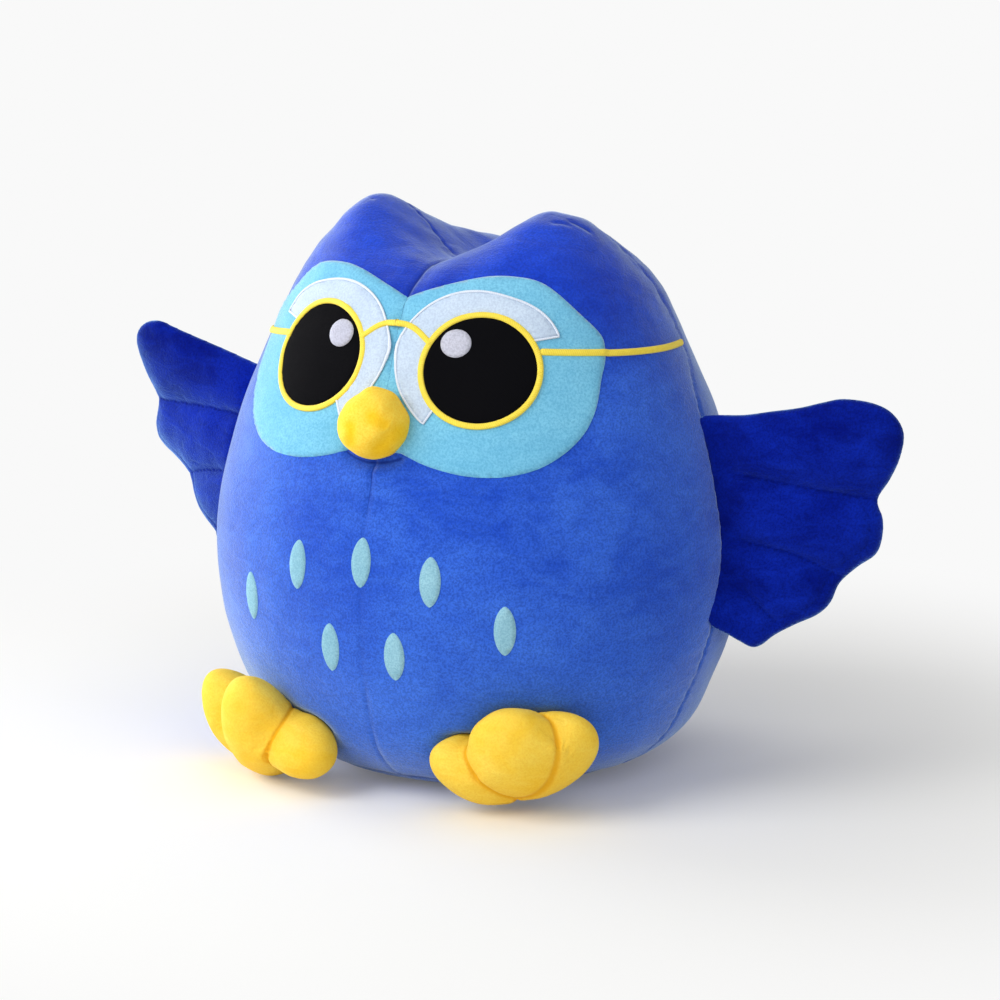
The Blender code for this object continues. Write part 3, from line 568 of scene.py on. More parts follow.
def makeFoot(side, finish):
    label = labels[side]
    placed = footFrame(side)
    shapes = [(toe, (placed @ toeMatrix(toe)).inverted()) for toe in foot["toes"][side]]
    bm = bmesh.new()
    for toe in foot["toes"][side]:
        grown = bmesh.ops.create_icosphere(bm, subdivisions=5, radius=1)["verts"]
        for vert in grown:
            vert.co.x *= 1 + toe[7] * vert.co.y
        bmesh.ops.transform(bm, matrix=placed @ toeMatrix(toe), verts=grown)
    if side < 0:
        bmesh.ops.scale(bm, vec=(-1, 1, 1), verts=bm.verts)
        bmesh.ops.reverse_faces(bm, faces=bm.faces)
    loose = addPiece("toes", bm, finish, None)
    remesh = loose.modifiers.new("oneSkin", "REMESH")
    remesh.mode = "VOXEL"
    remesh.voxel_size = foot["voxel"]
    bpy.context.view_layer.update()
    skin = bpy.data.meshes.new_from_object(loose.evaluated_get(bpy.context.evaluated_depsgraph_get()))
    bpy.data.objects.remove(loose)
    bm = bmesh.new()
    bm.from_mesh(skin)
    bpy.data.meshes.remove(skin)

    def filling(point):
        return foot["filled"] * bell(max(toeGaps(point, shapes)[1], 0), foot["fillWidth"]) - foot["cutBack"]

    moveOut(bm, filling)
    smooth(bm, bm.verts, foot["smoothings"])
    piece = addPiece("foot" + label.capitalize(), bm, finish, "foot_" + label)
    puff(piece, foot["pressure"], foot["swell"])
    bm = bmesh.new()
    bm.from_mesh(piece.data)
    bmesh.ops.subdivide_edges(bm, edges=bm.edges, cuts=1, use_grid_fill=True, smooth=1.0)
    creased = {}
    for vert in bm.verts:
        near, following = toeGaps(vert.co, shapes)
        creased[vert] = (following - near) * foot["gapShare"]
    mapSeams(bm, {vert: (vert.co.z, away * foot["creaseShadeShare"]) for vert, away in creased.items()})
    bm.normal_update()
    for vert, away in creased.items():
        uneven = foot["uneven"] * noise.noise(vert.co / foot["unevenSize"])
        vert.co += vert.normal * (uneven - foot["creaseDepth"] * bell(away, foot["creaseWidth"]))
    low = min(vert.co.z for vert in bm.verts)
    if low < foot["lowest"]:
        bmesh.ops.translate(bm, vec=(0, 0, foot["lowest"] - low), verts=bm.verts)
    bm.to_mesh(piece.data)
    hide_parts("foot_" + label + "_sole", "foot_" + label + "_top", "foot_" + label + "_filling")
    tree = BVHTree.FromBMesh(bm)
    bm.free()
    return tree


# The feet's dark lines where the toes meet, and the darker cloth beside them, are painted shade in the
# creases
footFinish = plushFinish("footPlush", (0.94, 0.60, 0.045), (0.98, 0.72, 0.11), (0.80, 0.38, 0.006),
                         sheen=0.12, tint=(1.0, 0.95, 0.7), seam=0.6, contrast=0.28)
feet = {side: makeFoot(side, footFinish) for side in labels}
print("feet ready")


def footGap(point):
    # How far the nearer foot's skin is, below zero inside it
    spot, normal, index, distance = feet[1 if point.x > 0 else -1].find_nearest(point)
    return distance if (point - spot).dot(normal) > 0 else -distance


def pressIn(bm):
    # Moves the body's cloth inwards until it lies clear of the feet, and rounds the dents' edges
    low = [vert for vert in bm.verts if vert.co.z < foot["pressBelow"] and vert.co.y < -foot["pressAhead"]]
    near = [vert for vert in low if footGap(vert.co) < foot["pressNear"]]
    for smoothings in (8, 8, 0):
        bm.normal_update()
        for vert in near:
            inward = -vert.normal
            while footGap(vert.co) < foot["clear"]:
                vert.co += inward * foot["pressStep"]
        smooth(bm, near, smoothings)


def makeBody():
    bm = bmesh.new()
    bmesh.ops.create_uvsphere(bm, u_segments=body["columns"], v_segments=body["rings"], radius=1)
    for vert in bm.verts:
        rise = math.acos(max(-1, min(1, -vert.co.z))) / math.pi
        turn = math.atan2(vert.co.x, -vert.co.y)
        vert.co = bodyPoint(turn - body["gather"] * math.sin(4 * turn), rise)
    fine = [edge for edge in bm.edges if all(tuckAway(vert.co) < body["tuckFine"] for vert in edge.verts)]
    bmesh.ops.subdivide_edges(bm, edges=fine, cuts=3, use_grid_fill=True)
    moveOut(bm, bodyRelief)
    pressIn(bm)

    def paintedLightByHeight(finish, colour, nap):
        # The pile on the head lies the other way and catches less sheen: its deeper colour is painted shade,
        # and the paler foot of the body is painted light
        head = finish.z.above(*body["headPaintedShade"])
        low = 1 - finish.z.above(0.0, body["lowPaintedLight"])
        top = finish.blend(nap, (0.0005, 0.020, 0.41), (0.008, 0.056, 0.66))
        return finish.blend(low * 0.55, finish.blend(head * 0.88, colour, top), (0.062, 0.215, 0.82))

    finish = plushFinish("bodyPlush", (0.013, 0.074, 0.56), (0.045, 0.160, 0.74), (0.002, 0.013, 0.18),
                         shade=paintedLightByHeight, tint=(0.70, 0.85, 1.0), sheen=0.9, bloom=0.42, seam=0.6)
    mapSeams(bm, {vert: seamPlace(vert.co) for vert in bm.verts})
    piece = addPiece("bodyCover", bm, finish, "owl")
    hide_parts("front_panel_left", "front_panel_right", "back_panel_left", "back_panel_right",
                "base_panel", "stuffing")
    return piece


bodyCover = makeBody()
bodyShell = bmesh.new()
bodyShell.from_mesh(bodyCover.data)
bodyTree = BVHTree.FromBMesh(bodyShell)
print("body ready")


# Flat pieces on the body

def sample(points, steps):
    # A smooth open curve, with so many steps from each point to the next
    return [readLine(points, index / steps) for index in range((len(points) - 1) * steps + 1)]


def smoothLoop(points, steps):
    ring = [points[-1], *points, points[0], points[1]]
    return [readLine(ring, 1 + index / steps) for index in range(len(points) * steps)]


def flatSheet(loop, spacing, insets):
    # A flat face cut on a grid, with narrow rings along its edge
    bm = bmesh.new()
    whole = bm.faces.new([bm.verts.new((point.x, point.y, 0)) for point in loop])
    whole.normal_update()
    if whole.normal.z < 0:
        whole.normal_flip()
    for inset in insets:
        bmesh.ops.inset_region(bm, faces=[whole], thickness=inset, use_even_offset=True)
    for axis, normal in enumerate((Vector((1, 0, 0)), Vector((0, 1, 0)))):
        values = [vert.co[axis] for vert in bm.verts]
        for step in range(math.ceil(min(values) / spacing), math.floor(max(values) / spacing) + 1):
            bmesh.ops.bisect_plane(bm, geom=[*bm.verts, *bm.edges, *bm.faces],
                                   plane_co=normal * step * spacing, plane_no=normal)
    bmesh.ops.triangulate(bm, faces=bm.faces)
    return bm


def linked(vert):
    return [edge.other_vert(vert) for edge in vert.link_edges]


def layOn(bm, placed, height, hem=0.0):
    # Drops each vertex straight onto the body and lifts it by height(point, level); hem is how far the
    # open edge goes down
    above = 60 * mm
    toward = -placed.col[2].to_3d()
    normals = {}
    for vert in bm.verts:
        flat = Vector((vert.co.x, vert.co.y))
        start = placed @ Vector((flat.x, flat.y, above))
        spot, normal, index, distance = bodyTree.ray_cast(start, toward)
        if spot is None:
            spot, normal, index, distance = bodyTree.find_nearest(placed @ vert.co)
        vert.co = spot + normal * height(flat, vert.co.z)
        normals[vert] = normal
    if hem:
        grown = bmesh.ops.extrude_edge_only(bm, edges=[edge for edge in bm.edges if edge.is_boundary])["geom"]
        for vert in [item for item in grown if isinstance(item, bmesh.types.BMVert)]:
            upper = next(other for other in linked(vert) if other in normals)
            vert.co -= normals[upper] * hem
    bmesh.ops.recalc_face_normals(bm, faces=bm.faces)
    bm.normal_update()
    if sum(item.normal.dot(toward) for item in bm.faces) > 0:
        bmesh.ops.reverse_faces(bm, faces=bm.faces)


def layFlat(loop, placed, low, high, soft, hem, spacing=3.0 * mm, insets=(0.3 * mm, 0.5 * mm)):
    # A flat piece on the body, whose edge rises like a rounded hem from low to high over the width soft
    def lift(flat, level):
        share = min(edgeDistance(flat, loop) / soft, 1)
        return low + (high - low) * math.sqrt(1 - (1 - share) ** 2)

    bm = flatSheet(loop, spacing, insets)
    layOn(bm, placed, lift, hem)
    return bm


def band(path, width, height, closed=False, steps=8, taper=0.0):
    # A stitched band: its round profile is extruded along the path; the map holds the run and the width
    buriedShare, leastEnd = 0.8, 0.02  # how deep its hidden edges go, and how small a tapered end gets
    bm = bmesh.new()
    count = len(path)
    runs = [0.0]
    for index in range(1, count + (1 if closed else 0)):
        runs.append(runs[-1] + (path[index % count] - path[index - 1]).length)
    place = {}

    def across(index):
        if closed:
            along = path[(index + 1) % count] - path[index - 1]
        else:
            along = path[min(index + 1, count - 1)] - path[max(index - 1, 0)]
        return Vector((-along.y, along.x)).normalized()

    def setRow(verts, index):
        size = 1.0
        if taper:
            ends = min(runs[index], runs[-1] - runs[index])
            size = math.sqrt(max(1 - max(1 - ends / taper, 0) ** 2, leastEnd ** 2))
        for step, vert in enumerate(verts):
            share = min(max(2 * (step - 1) / steps - 1, -1), 1)
            spot = path[index % count] + across(index % count) * share * size * width / 2
            level = size * height * math.sqrt(1 - share ** 2)
            if step in (0, steps + 2):
                level = -height * buriedShare
            vert.co = (spot.x, spot.y, level)
            place[vert] = (runs[index], share * width / 2)

    row = [bm.verts.new((step * mm, 0, 0)) for step in range(steps + 3)]
    edges = [bm.edges.new(pair) for pair in zip(row, row[1:])]
    setRow(row, 0)
    for index in range(1, len(runs)):
        grown = bmesh.ops.extrude_edge_only(bm, edges=edges)["geom"]
        fresh = {item for item in grown if isinstance(item, bmesh.types.BMVert)}
        row = [next(other for other in linked(vert) if other in fresh) for vert in row]
        edges = [bm.edges.get(pair) for pair in zip(row, row[1:])]
        setRow(row, index)
    mapSeams(bm, place)
    if closed:
        bmesh.ops.remove_doubles(bm, verts=bm.verts, dist=0.01 * mm)
    return bm


face = {
    "azimuth": math.radians(24.2), "height": 212 * mm, "radius": 27.0 * mm, "squash": 0.95, "rim": 2.9 * mm,
    # Outlines in millimetres from the eye's middle; the crescent's is in degrees and millimetres out
    "patch": [(-50, 32.5), (-42, 35.2), (-35, 38.2), (-20, 42.5), (-8, 45.7), (4, 47.5), (20, 46.5), (31, 42),
              (46, 30), (52, 25), (55.6, 20), (57, 11), (56, 1), (55.5, -8), (54, -17), (50, -27), (42, -37),
              (31, -45), (18, -49.5), (6, -50.8), (-7, -50), (-23, -46), (-36, -40), (-50, -33)],
    "crescent": [(28, 40.2), (40, 40.5), (56, 39.2), (75, 37.8), (93, 38.4), (111, 39.7), (129, 41.2),
                 (146, 42.2), (160, 43.0), (175, 41.6), (192, 39.8), (209, 37.6), (226, 36.4)],
    "bridge": [(-25.4, 12.6), (-28.6, 15.6), (-33.0, 19.3), (-38.0, 21.8), (-42.5, 22.6)],
    # How high each piece lies on the body; its edge's height above what is under it, hem, and slope's width
    "patchLift": 1.3 * mm, "eyeLift": 2.1 * mm, "crescentLift": 2.1 * mm, "spotRise": 1.0 * mm,
    "edge": 0.35 * mm, "hem": 1.0 * mm, "soft": 1.6 * mm, "crisp": 1.0 * mm,
    # The patches stop short of the middle seam and sink into it, and the bridge rises over it: depth, width
    "middleGap": 0.05 * mm, "sinkIn": (0.8 * mm, 1.3 * mm), "bridgeRise": (1.2 * mm, 3 * mm),
    "bridgeFrom": 0.5 * mm,
    # The disc reaches under the rim, and stitched bands are sunk a little into the cloth
    "discOver": 1.6 * mm, "rimHeight": 0.75 * mm, "stitch": (1.1 * mm, 0.3 * mm), "sunk": 0.1 * mm,
    "spotPlace": (-12.0 * mm, 12.6 * mm), "spotWidth": 15.0 * mm, "spotHeight": 13.7 * mm,
    "bridgeWidth": 2.8 * mm, "bridgeHeight": 0.9 * mm,
    # The temples start inside the rim and end rounded; their heights at the eye and at the side seam
    "templeWidth": 3.3 * mm, "templeHeight": 0.8 * mm, "templeRound": 1.5 * mm, "templeLift": 0.35 * mm,
    "templeHeights": {1: (220.5 * mm, 217.0 * mm), -1: (218.5 * mm, 208.0 * mm)},
    "templeEnd": math.radians(104), "patchEnd": (56.0 * mm, 58.5 * mm),
}


def eyeFrame(side):
    return bodyFrame(side * face["azimuth"], riseAt(face["height"]))


def makePatch(side, finish):
    loop = [Vector((point.x * side, point.y)) * mm for point in smoothLoop(face["patch"], 4)]
    bm = layFlat(loop, eyeFrame(side), face["edge"], face["patchLift"], face["soft"], face["hem"],
                 insets=(0.3 * mm, 0.5 * mm, 0.8 * mm))
    bmesh.ops.bisect_plane(bm, geom=[*bm.verts, *bm.edges, *bm.faces], clear_inner=True,
                           plane_co=(side * face["middleGap"], 0, 0), plane_no=(side, 0, 0))
    depth, width = face["sinkIn"]
    for vert in bm.verts:
        vert.co.y += depth * bell(vert.co.x, width)
    label = labels[side]
    piece = addPiece("facePatch" + label.capitalize(), bm, finish, "owl")
    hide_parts("face_patch_" + label)


def ellipse(width, height, count, centre=(0, 0)):
    turns = [2 * math.pi * index / count for index in range(count)]
    return [Vector((centre[0] + width / 2 * math.cos(turn), centre[1] + height / 2 * math.sin(turn)))
            for turn in turns]


def makeEye(side, finishes):
    label = labels[side]
    suffix = label.capitalize()
    placed = eyeFrame(side)
    radius, squash = face["radius"], face["squash"]
    onPatch = face["patchLift"] + face["edge"]
    width = 2 * radius + face["discOver"]
    bm = layFlat(ellipse(width, width * squash, 96), placed, onPatch, face["eyeLift"], face["soft"],
                 face["hem"], insets=(0.8 * mm,))
    eye = addPiece("eye" + suffix, bm, finishes["eye"], "owl")
    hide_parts("eye_" + label)

    centre = radius + face["rim"] / 2
    ring = ellipse(2 * centre, 2 * centre * squash, 160)
    bm = band(ring, face["rim"], face["rimHeight"], closed=True)
    layOn(bm, placed, lambda flat, level: face["eyeLift"] - face["sunk"] + level)
    rim = addPiece("rim" + suffix, bm, finishes["thread"], "owl")
    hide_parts("rim_" + label)

    # The crescent's inner edge follows the rim, and starts 7 degrees later and ends 2 degrees earlier
    outer, inner, count, table = [], [], 60, face["crescent"]
    for index in range(count + 1):
        turn, reach = readLine(table, index / count * (len(table) - 1))
        outer.append(Vector((math.cos(math.radians(turn)) * side, math.sin(math.radians(turn)))) * reach * mm)
        turn = math.radians(table[0][0] + 7 + (table[-1][0] - table[0][0] - 9) * index / count)
        inner.append(Vector((math.cos(turn) * side, math.sin(turn) * squash)) * (radius + face["rim"] * 0.5))
    bm = layFlat(outer + inner[::-1], placed, onPatch, face["crescentLift"], face["crisp"], face["hem"])
    crescent = addPiece("crescent" + suffix, bm, finishes["crescent"], "owl")
    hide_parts("eye_crescent_" + label)

    bm = band([inner[0], *outer, inner[-1]], *face["stitch"], steps=6)
    layOn(bm, placed, lambda flat, level: face["crescentLift"] - face["sunk"] + level)
    edge = addPiece("crescentStitch" + suffix, bm, finishes["paleThread"], "owl")

    centre = (face["spotPlace"][0] * side, face["spotPlace"][1])
    spot = ellipse(face["spotWidth"], face["spotHeight"], 60, centre)
    bm = layFlat(spot, placed, face["eyeLift"] + face["edge"], face["eyeLift"] + face["spotRise"],
                 face["crisp"], face["hem"], spacing=2.5 * mm)
    highlight = addPiece("eyeSpot" + suffix, bm, finishes["spot"], "owl")
    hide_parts("eye_highlight_" + label)


def makeTemple(side, finish):
    # From the rim along the side of the head to the side seam
    heights = face["templeHeights"][side]
    toEye = eyeFrame(1).inverted()
    reach = face["radius"] + face["rim"] * 0.45

    def underRim(azimuth):
        point = toEye @ bodyPoint(azimuth, riseAt(heights[0]))
        return point.x < 0 or point.to_2d().length < reach

    start, end = search(face["azimuth"], face["templeEnd"], underRim), face["templeEnd"]
    placed = bodyFrame(side * (start + end) / 2, riseAt(sum(heights) / 2))
    toPlaced = placed.inverted()
    path, count = [], 90
    for index in range(count + 1):
        share = index / count
        height = heights[0] + (heights[1] - heights[0]) * share
        path.append((toPlaced @ bodyPoint(side * (start + (end - start) * share), riseAt(height))).to_2d())
    bm = band(path, face["templeWidth"], face["templeHeight"], taper=face["templeRound"])
    layOn(bm, placed, lambda flat, level: face["templeLift"] + level)
    # Lifted where it lies on the patch
    toEye = eyeFrame(side).inverted()
    for vert in bm.verts:
        over = 1 - fade((toEye @ vert.co).x * side, *face["patchEnd"])
        vert.co += placed.col[2].to_3d() * face["patchLift"] * over
    label = labels[side]
    piece = addPiece("temple" + label.capitalize(), bm, finish, "owl")
    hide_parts("temple_" + label)


def makeBridge(finish):
    placed = bodyFrame(0, riseAt(face["height"]))
    toPlaced = placed.inverted()
    half = [toPlaced @ (eyeFrame(1) @ Vector((x * mm, y * mm, 0))) for x, y in face["bridge"]]
    half = [point.to_2d() for point in half if point.x > face["bridgeFrom"]]
    points = half + [Vector((-point.x, point.y)) for point in half[::-1]]
    bm = band(sample(points, 10), face["bridgeWidth"], face["bridgeHeight"])

    def lift(flat, level):
        rise, width = face["bridgeRise"]
        return face["crescentLift"] + face["sunk"] + level + rise * bell(flat.x, width)

    layOn(bm, placed, lift)
    piece = addPiece("rimBridge", bm, finish, "owl")
    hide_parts("rim_bridge")


def eyeFinish():
    # Black embroidery: close rows with a little fluff
    rowGap, columnGap, fluffSize, depth = 0.9 * mm, 1.1 * mm, 1.0 * mm, 0.14 * mm
    finish = Finish("eyeEmbroidery", Metallic=0.0, Sheen_Weight=0.0, Specular_IOR_Level=0.03)
    rows = (finish.z * (2 * math.pi / rowGap)).sine()
    columns = (finish.x * (2 * math.pi / columnGap)).sine()
    weave = (rows * columns) * 0.5 + 0.5
    fluff = finish.noise(fluffSize)
    colour = finish.blend(weave * 0.5 + fluff * 0.5, (0.0008, 0.0008, 0.0012), (0.0045, 0.0045, 0.006))
    return finish.end(Base_Color=colour, Roughness=0.72 + fluff * 0.20,
                      Normal=finish.bump(weave * 0.6 + fluff * 0.4, depth))


finishes = {
    "patch": plushFinish("facePlush", (0.165, 0.49, 0.71), (0.23, 0.59, 0.79), (0.06, 0.28, 0.50), sheen=0.7,
                         tint=(0.95, 0.98, 1.0)),
    "crescent": plushFinish("crescentPlush", (0.50, 0.61, 0.76), (0.60, 0.71, 0.84), (0.34, 0.42, 0.58),
                            grainDepth=0.10 * mm, sheen=0.08, tint=(1.0, 1.0, 1.0)),
    "spot": plushFinish("spotEmbroidery", (0.50, 0.51, 0.62), (0.62, 0.63, 0.72), (0.28, 0.28, 0.36),
                        grain=0.9 * mm, sheen=0.08, tint=(1.0, 1.0, 1.0)),
    "eye": eyeFinish(),
    "thread": threadFinish("yellowThread", (0.95, 0.76, 0.085), (0.72, 0.50, 0.03)),
    "paleThread": threadFinish("paleThread", (0.74, 0.80, 0.90), (0.56, 0.64, 0.79)),
}
for side in labels:
    makePatch(side, finishes["patch"])
    makeEye(side, finishes)
    makeTemple(side, finishes["thread"])
makeBridge(finishes["thread"])
print("face ready")


# Belly marks

marks = {
    "length": 24.0 * mm, "width": 10.6 * mm, "lift": 0.8 * mm, "edge": 0.3 * mm, "hem": 0.9 * mm,
    "soft": 0.9 * mm,
    # Each mark's azimuth in degrees, and its height as a share of the body's
    "places": [(-32.5, 0.358), (-16.2, 0.443), (0.0, 0.466), (15.3, 0.443), (31.3, 0.358), (-7.8, 0.297),
               (7.8, 0.297)],
}


def makeMarks():
    finish = plushFinish("markEmbroidery", (0.25, 0.49, 0.60), (0.34, 0.60, 0.70), (0.10, 0.28, 0.42),
                         grain=0.8 * mm, sheen=0.12, tint=(0.85, 1.0, 1.0))
    half, count = [], 30
    for index in range(count + 1):
        turn = math.pi * index / count
        aside = marks["width"] / 2 * math.sin(turn) ** 1.25
        half.append(Vector((aside, marks["length"] / 2 * math.cos(turn))))
    loop = half + [Vector((-point.x, point.y)) for point in half[-2:0:-1]]
    for number, (azimuth, level) in enumerate(marks["places"], start=1):
        placed = bodyFrame(math.radians(azimuth), riseAt(level * body["height"]))
        bm = layFlat(loop, placed, marks["edge"], marks["lift"], marks["soft"], marks["hem"],
                     spacing=2.6 * mm, insets=(0.25 * mm, 0.4 * mm))
        piece = addPiece("bellyMark" + str(number), bm, finish, "owl")
        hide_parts("belly_mark_" + str(number))


makeMarks()
print("marks ready")


# Beak

beak = {
    "width": 35.8 * mm, "height": 35.2 * mm, "depth": 35.0 * mm, "level": 187 * mm, "forward": 6 * mm,
    "turn": math.radians(29.8), "tilt": math.radians(11.9),
    # How far from its seen middle its outline comes fully in, and how far in front of its middle its folds do
    "outlineIn": 15 * mm, "foldsIn": 7 * mm,
    # Its unevenness: depth in millimetres, and size
    "uneven": 0.45, "unevenSize": 8 * mm,
    # Its outline as seen: the radius's share of the ellipse at each twelfth of a turn, from the right upwards
    "outline": [0.955, 0.893, 0.945, 0.975, 0.885, 0.915, 0.985, 1.020, 0.985, 1.0, 0.990, 0.975],
    # Folds on its seen side, in millimetres: start and end across and up from its middle, width and depth
    "folds": [((-11.0, -2.0), (-11.2, -9.5), 2.8, 1.0), ((-0.5, 2.2), (4.8, -1.2), 3.8, 0.6),
              ((3.0, -12.5), (11.5, -4.8), 4.4, 1.1)],
}


def foldAway(point):
    # The nearest fold of the beak: how far it is, in its own widths, and its depth
    right, up, out = facing(beak["turn"], beak["tilt"])
    flat = Vector((point.dot(right), point.dot(up)))
    seen = fade(point.dot(out), 0, beak["foldsIn"])
    folds = []
    for start, end, width, depth in beak["folds"]:
        away = edgeDistance(flat, [Vector(start) * mm, Vector(end) * mm]) / (width * mm)
        folds.append((away + 2 * (1 - seen), depth * seen))
    return min(folds)


def makeBeak():
    centre = bodyPoint(0, riseAt(beak["level"])) - Vector((0, beak["forward"], 0))
    right, up = facing(beak["turn"], beak["tilt"])[:2]
    count = len(beak["outline"])
    bm = bmesh.new()
    bmesh.ops.create_icosphere(bm, subdivisions=6, radius=1)
    for vert in bm.verts:
        x, y, z = vert.co
        vert.co = Vector((x * beak["width"] / 2, y * beak["depth"] / 2, z * beak["height"] / 2))
        across, rise = vert.co.dot(right), vert.co.dot(up)
        place = math.atan2(rise, across) / (2 * math.pi) * count
        first = math.floor(place)
        low, high = beak["outline"][first % count], beak["outline"][(first + 1) % count]
        change = low + (high - low) * fade(place - first, 0, 1) - 1
        change *= fade(math.hypot(across, rise), 0, beak["outlineIn"])
        vert.co += (right * across + up * rise) * change

    def relief(point):
        away, depth = foldAway(point)
        return (beak["uneven"] * noise.noise(point / beak["unevenSize"]) - depth * bell(away, 1)) * mm

    def foldPaintedShade(finish, colour, nap):
        # Deeper orange near the folds: painted shade in them
        away = finish.seamMap()[1]
        return finish.blend((1 - away.above(0.1, 1.6)) * 0.7, colour, (0.98, 0.57, 0.004))

    moveOut(bm, relief)
    finish = plushFinish("beakPlush", (0.97, 0.59, 0.030), (1.0, 0.74, 0.105), (0.90, 0.46, 0.004),
                         sheen=0.12, tint=(1.0, 0.95, 0.7), shade=foldPaintedShade)
    mapSeams(bm, {vert: (vert.co.x, foldAway(vert.co)[0]) for vert in bm.verts})
    piece = addPiece("beakCover", bm, finish, "owl")
    piece.data.transform(Matrix.Translation(centre))
    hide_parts("beak_cover", "beak_filling")


makeBeak()
print("beak ready")


# Wings

wing = {
    "rootLow": 86 * mm, "rootHigh": 183 * mm, "sweep": math.radians(8), "reach": 90.5 * mm, "bead": 1.3 * mm,
    "clearance": 0.4 * mm, "curls": {1: 30 * mm, -1: 46 * mm}, "curlTop": 0.42,
    # The cut edge from the top of the root round to its foot, in shares of the reach
    "outline": {
        1: [(0.147, 0.561), (0.30, 0.572), (0.458, 0.583), (0.60, 0.606), (0.71, 0.617), (0.862, 0.588),
            (0.963, 0.528), (1.009, 0.422), (0.970, 0.291), (0.900, 0.177), (0.822, 0.074), (0.836, -0.033),
            (0.816, -0.142), (0.772, -0.221), (0.673, -0.281), (0.573, -0.362), (0.517, -0.462),
            (0.443, -0.526), (0.322, -0.574), (0.218, -0.623), (0.148, -0.672), (0.097, -0.680),
            (0.040, -0.645), (-0.016, -0.606)],
        -1: [(0.10, 0.576), (0.32, 0.605), (0.555, 0.634), (0.69, 0.653), (0.79, 0.668), (0.885, 0.640),
             (0.950, 0.580), (0.978, 0.500), (0.965, 0.405), (0.935, 0.315), (0.892, 0.235), (0.874, 0.180),
             (0.885, 0.110), (0.920, 0.020), (0.915, -0.060), (0.855, -0.105), (0.755, -0.138),
             (0.655, -0.184), (0.590, -0.242), (0.545, -0.318), (0.480, -0.388), (0.400, -0.430),
             (0.290, -0.475), (0.215, -0.525), (0.150, -0.560), (0.085, -0.565), (0.030, -0.550)],
    },
    # Stitched channels, in millimetres out and up from the middle of the root
    "channels": {
        1: [[(6, 23), (22, 19), (42, 14), (75, 6.6)], [(-1, -7), (15, -12), (35, -18.8), (52, -29.5)],
            [(-1, -31), (8, -35), (21, -50)]],
        -1: [[(8, 24), (30, 22.5), (46, 20.9), (66, 18.2), (79, 17)],
             [(0, -5), (15, -7.5), (25, -9.3), (41, -13.5), (56, -19)], [(0, -27), (10, -31), (25, -42)]],
    },
    "puff": 5.4 * mm, "pressure": 14.0, "swell": 1.6 * mm, "edgeHalf": 1.1 * mm, "fall": 17 * mm,
    "grid": 1.25 * mm, "insets": (0.4 * mm, 0.6 * mm, 1.0 * mm), "welded": 0.02 * mm,
    # The root's seam leans back about its place at a height, and the wing reaches a little into it
    "seamLean": math.radians(7), "seamPivot": 95 * mm, "tuckedIn": 1.5 * mm,
    # How widely the edge, the root and the channels are sewn fast
    "edgeFast": 1.2 * mm, "rootFast": 9 * mm, "channelFast": 1.0 * mm,
    # The edge rounds over edgeRound, and at the root the wing keeps a share of its filling
    "edgeRound": 1.6 * mm, "rootPuff": 0.35,
    # Where the wing thickens from its root, and where the hem's stitching starts to show out and down it
    "rootFade": (-2 * mm, 18 * mm), "hemAlong": (16 * mm, 26 * mm), "hemUp": (2 * mm, 14 * mm),
    "hemLine": 5 * mm, "hemSink": 0.45 * mm, "hemWidth": 0.9 * mm, "hemLeast": 0.3,
    # How much further away lines read on the seam map, so that they draw fainter: the hem's everywhere, and
    # where it hardly shows; a channel's at the root, and within a width at the edge; the hem's at a channel
    "hemFaint": (0.3 * mm, 0.7 * mm), "rootFaint": 1.2 * mm, "rootFaintOver": (5 * mm, 15 * mm),
    "edgeFaint": (1.0 * mm, 3 * mm), "crossFaint": (1.5 * mm, 3 * mm),
    # Each channel draws the wing in by a share over a width: broadly, and along its stitching
    "drawnIn": [(0.50, 6.5 * mm), (0.30, 1.3 * mm)], "ripple": 0.7 * mm, "rippleSize": 16 * mm,
    "rippleFull": 4 * mm,
    "bend": (3 * mm, 9 * mm),
}


def seamSide(height):
    # Where the left side seam lies on the plain body
    half = profile(riseAt(height)).x * body["width"] / 2
    y = math.tan(wing["seamLean"]) * (height - wing["seamPivot"])
    depth = half * (body["back"] if y > 0 else body["lowFront"])
    return Vector((half * math.sqrt(1 - (y / depth) ** 2), y, height))


def rootLine(steps):
    return [seamSide(wing["rootLow"] + (wing["rootHigh"] - wing["rootLow"]) * index / steps)
            for index in range(steps + 1)]


def wingFrame():
    # X along the wing, Y to its back, Z up the hinge line
    low, high = seamSide(wing["rootLow"]), seamSide(wing["rootHigh"])
    up = (high - low).normalized()
    outward = Vector((math.cos(wing["sweep"]), math.sin(wing["sweep"]), 0))
    outward = (outward - up * outward.dot(up)).normalized()
    bulge = 0
    for point in rootLine(10):
        bulge = max(bulge, (point - low).x - (up * (point - low).dot(up)).x)
    clear = Vector((bulge + wing["bead"] + wing["clearance"], 0, 0))
    return frameOf((outward, up.cross(outward), up), (low + high) / 2 + clear)


def nearLine(flat, line):
    # How far a line is, and the run along it
    best, run, total = 1.0, 0.0, 0.0
    for start, end in zip(line, line[1:]):
        along = end - start
        t = min(max((flat - start).dot(along) / along.length_squared, 0), 1)
        away = (flat - start - along * t).length
        if away < best:
            best, run = away, total + along.length * t
        total += along.length
    return best, run


def faintNear(away, faint):
    most, width = faint
    return most * bell(away, width)


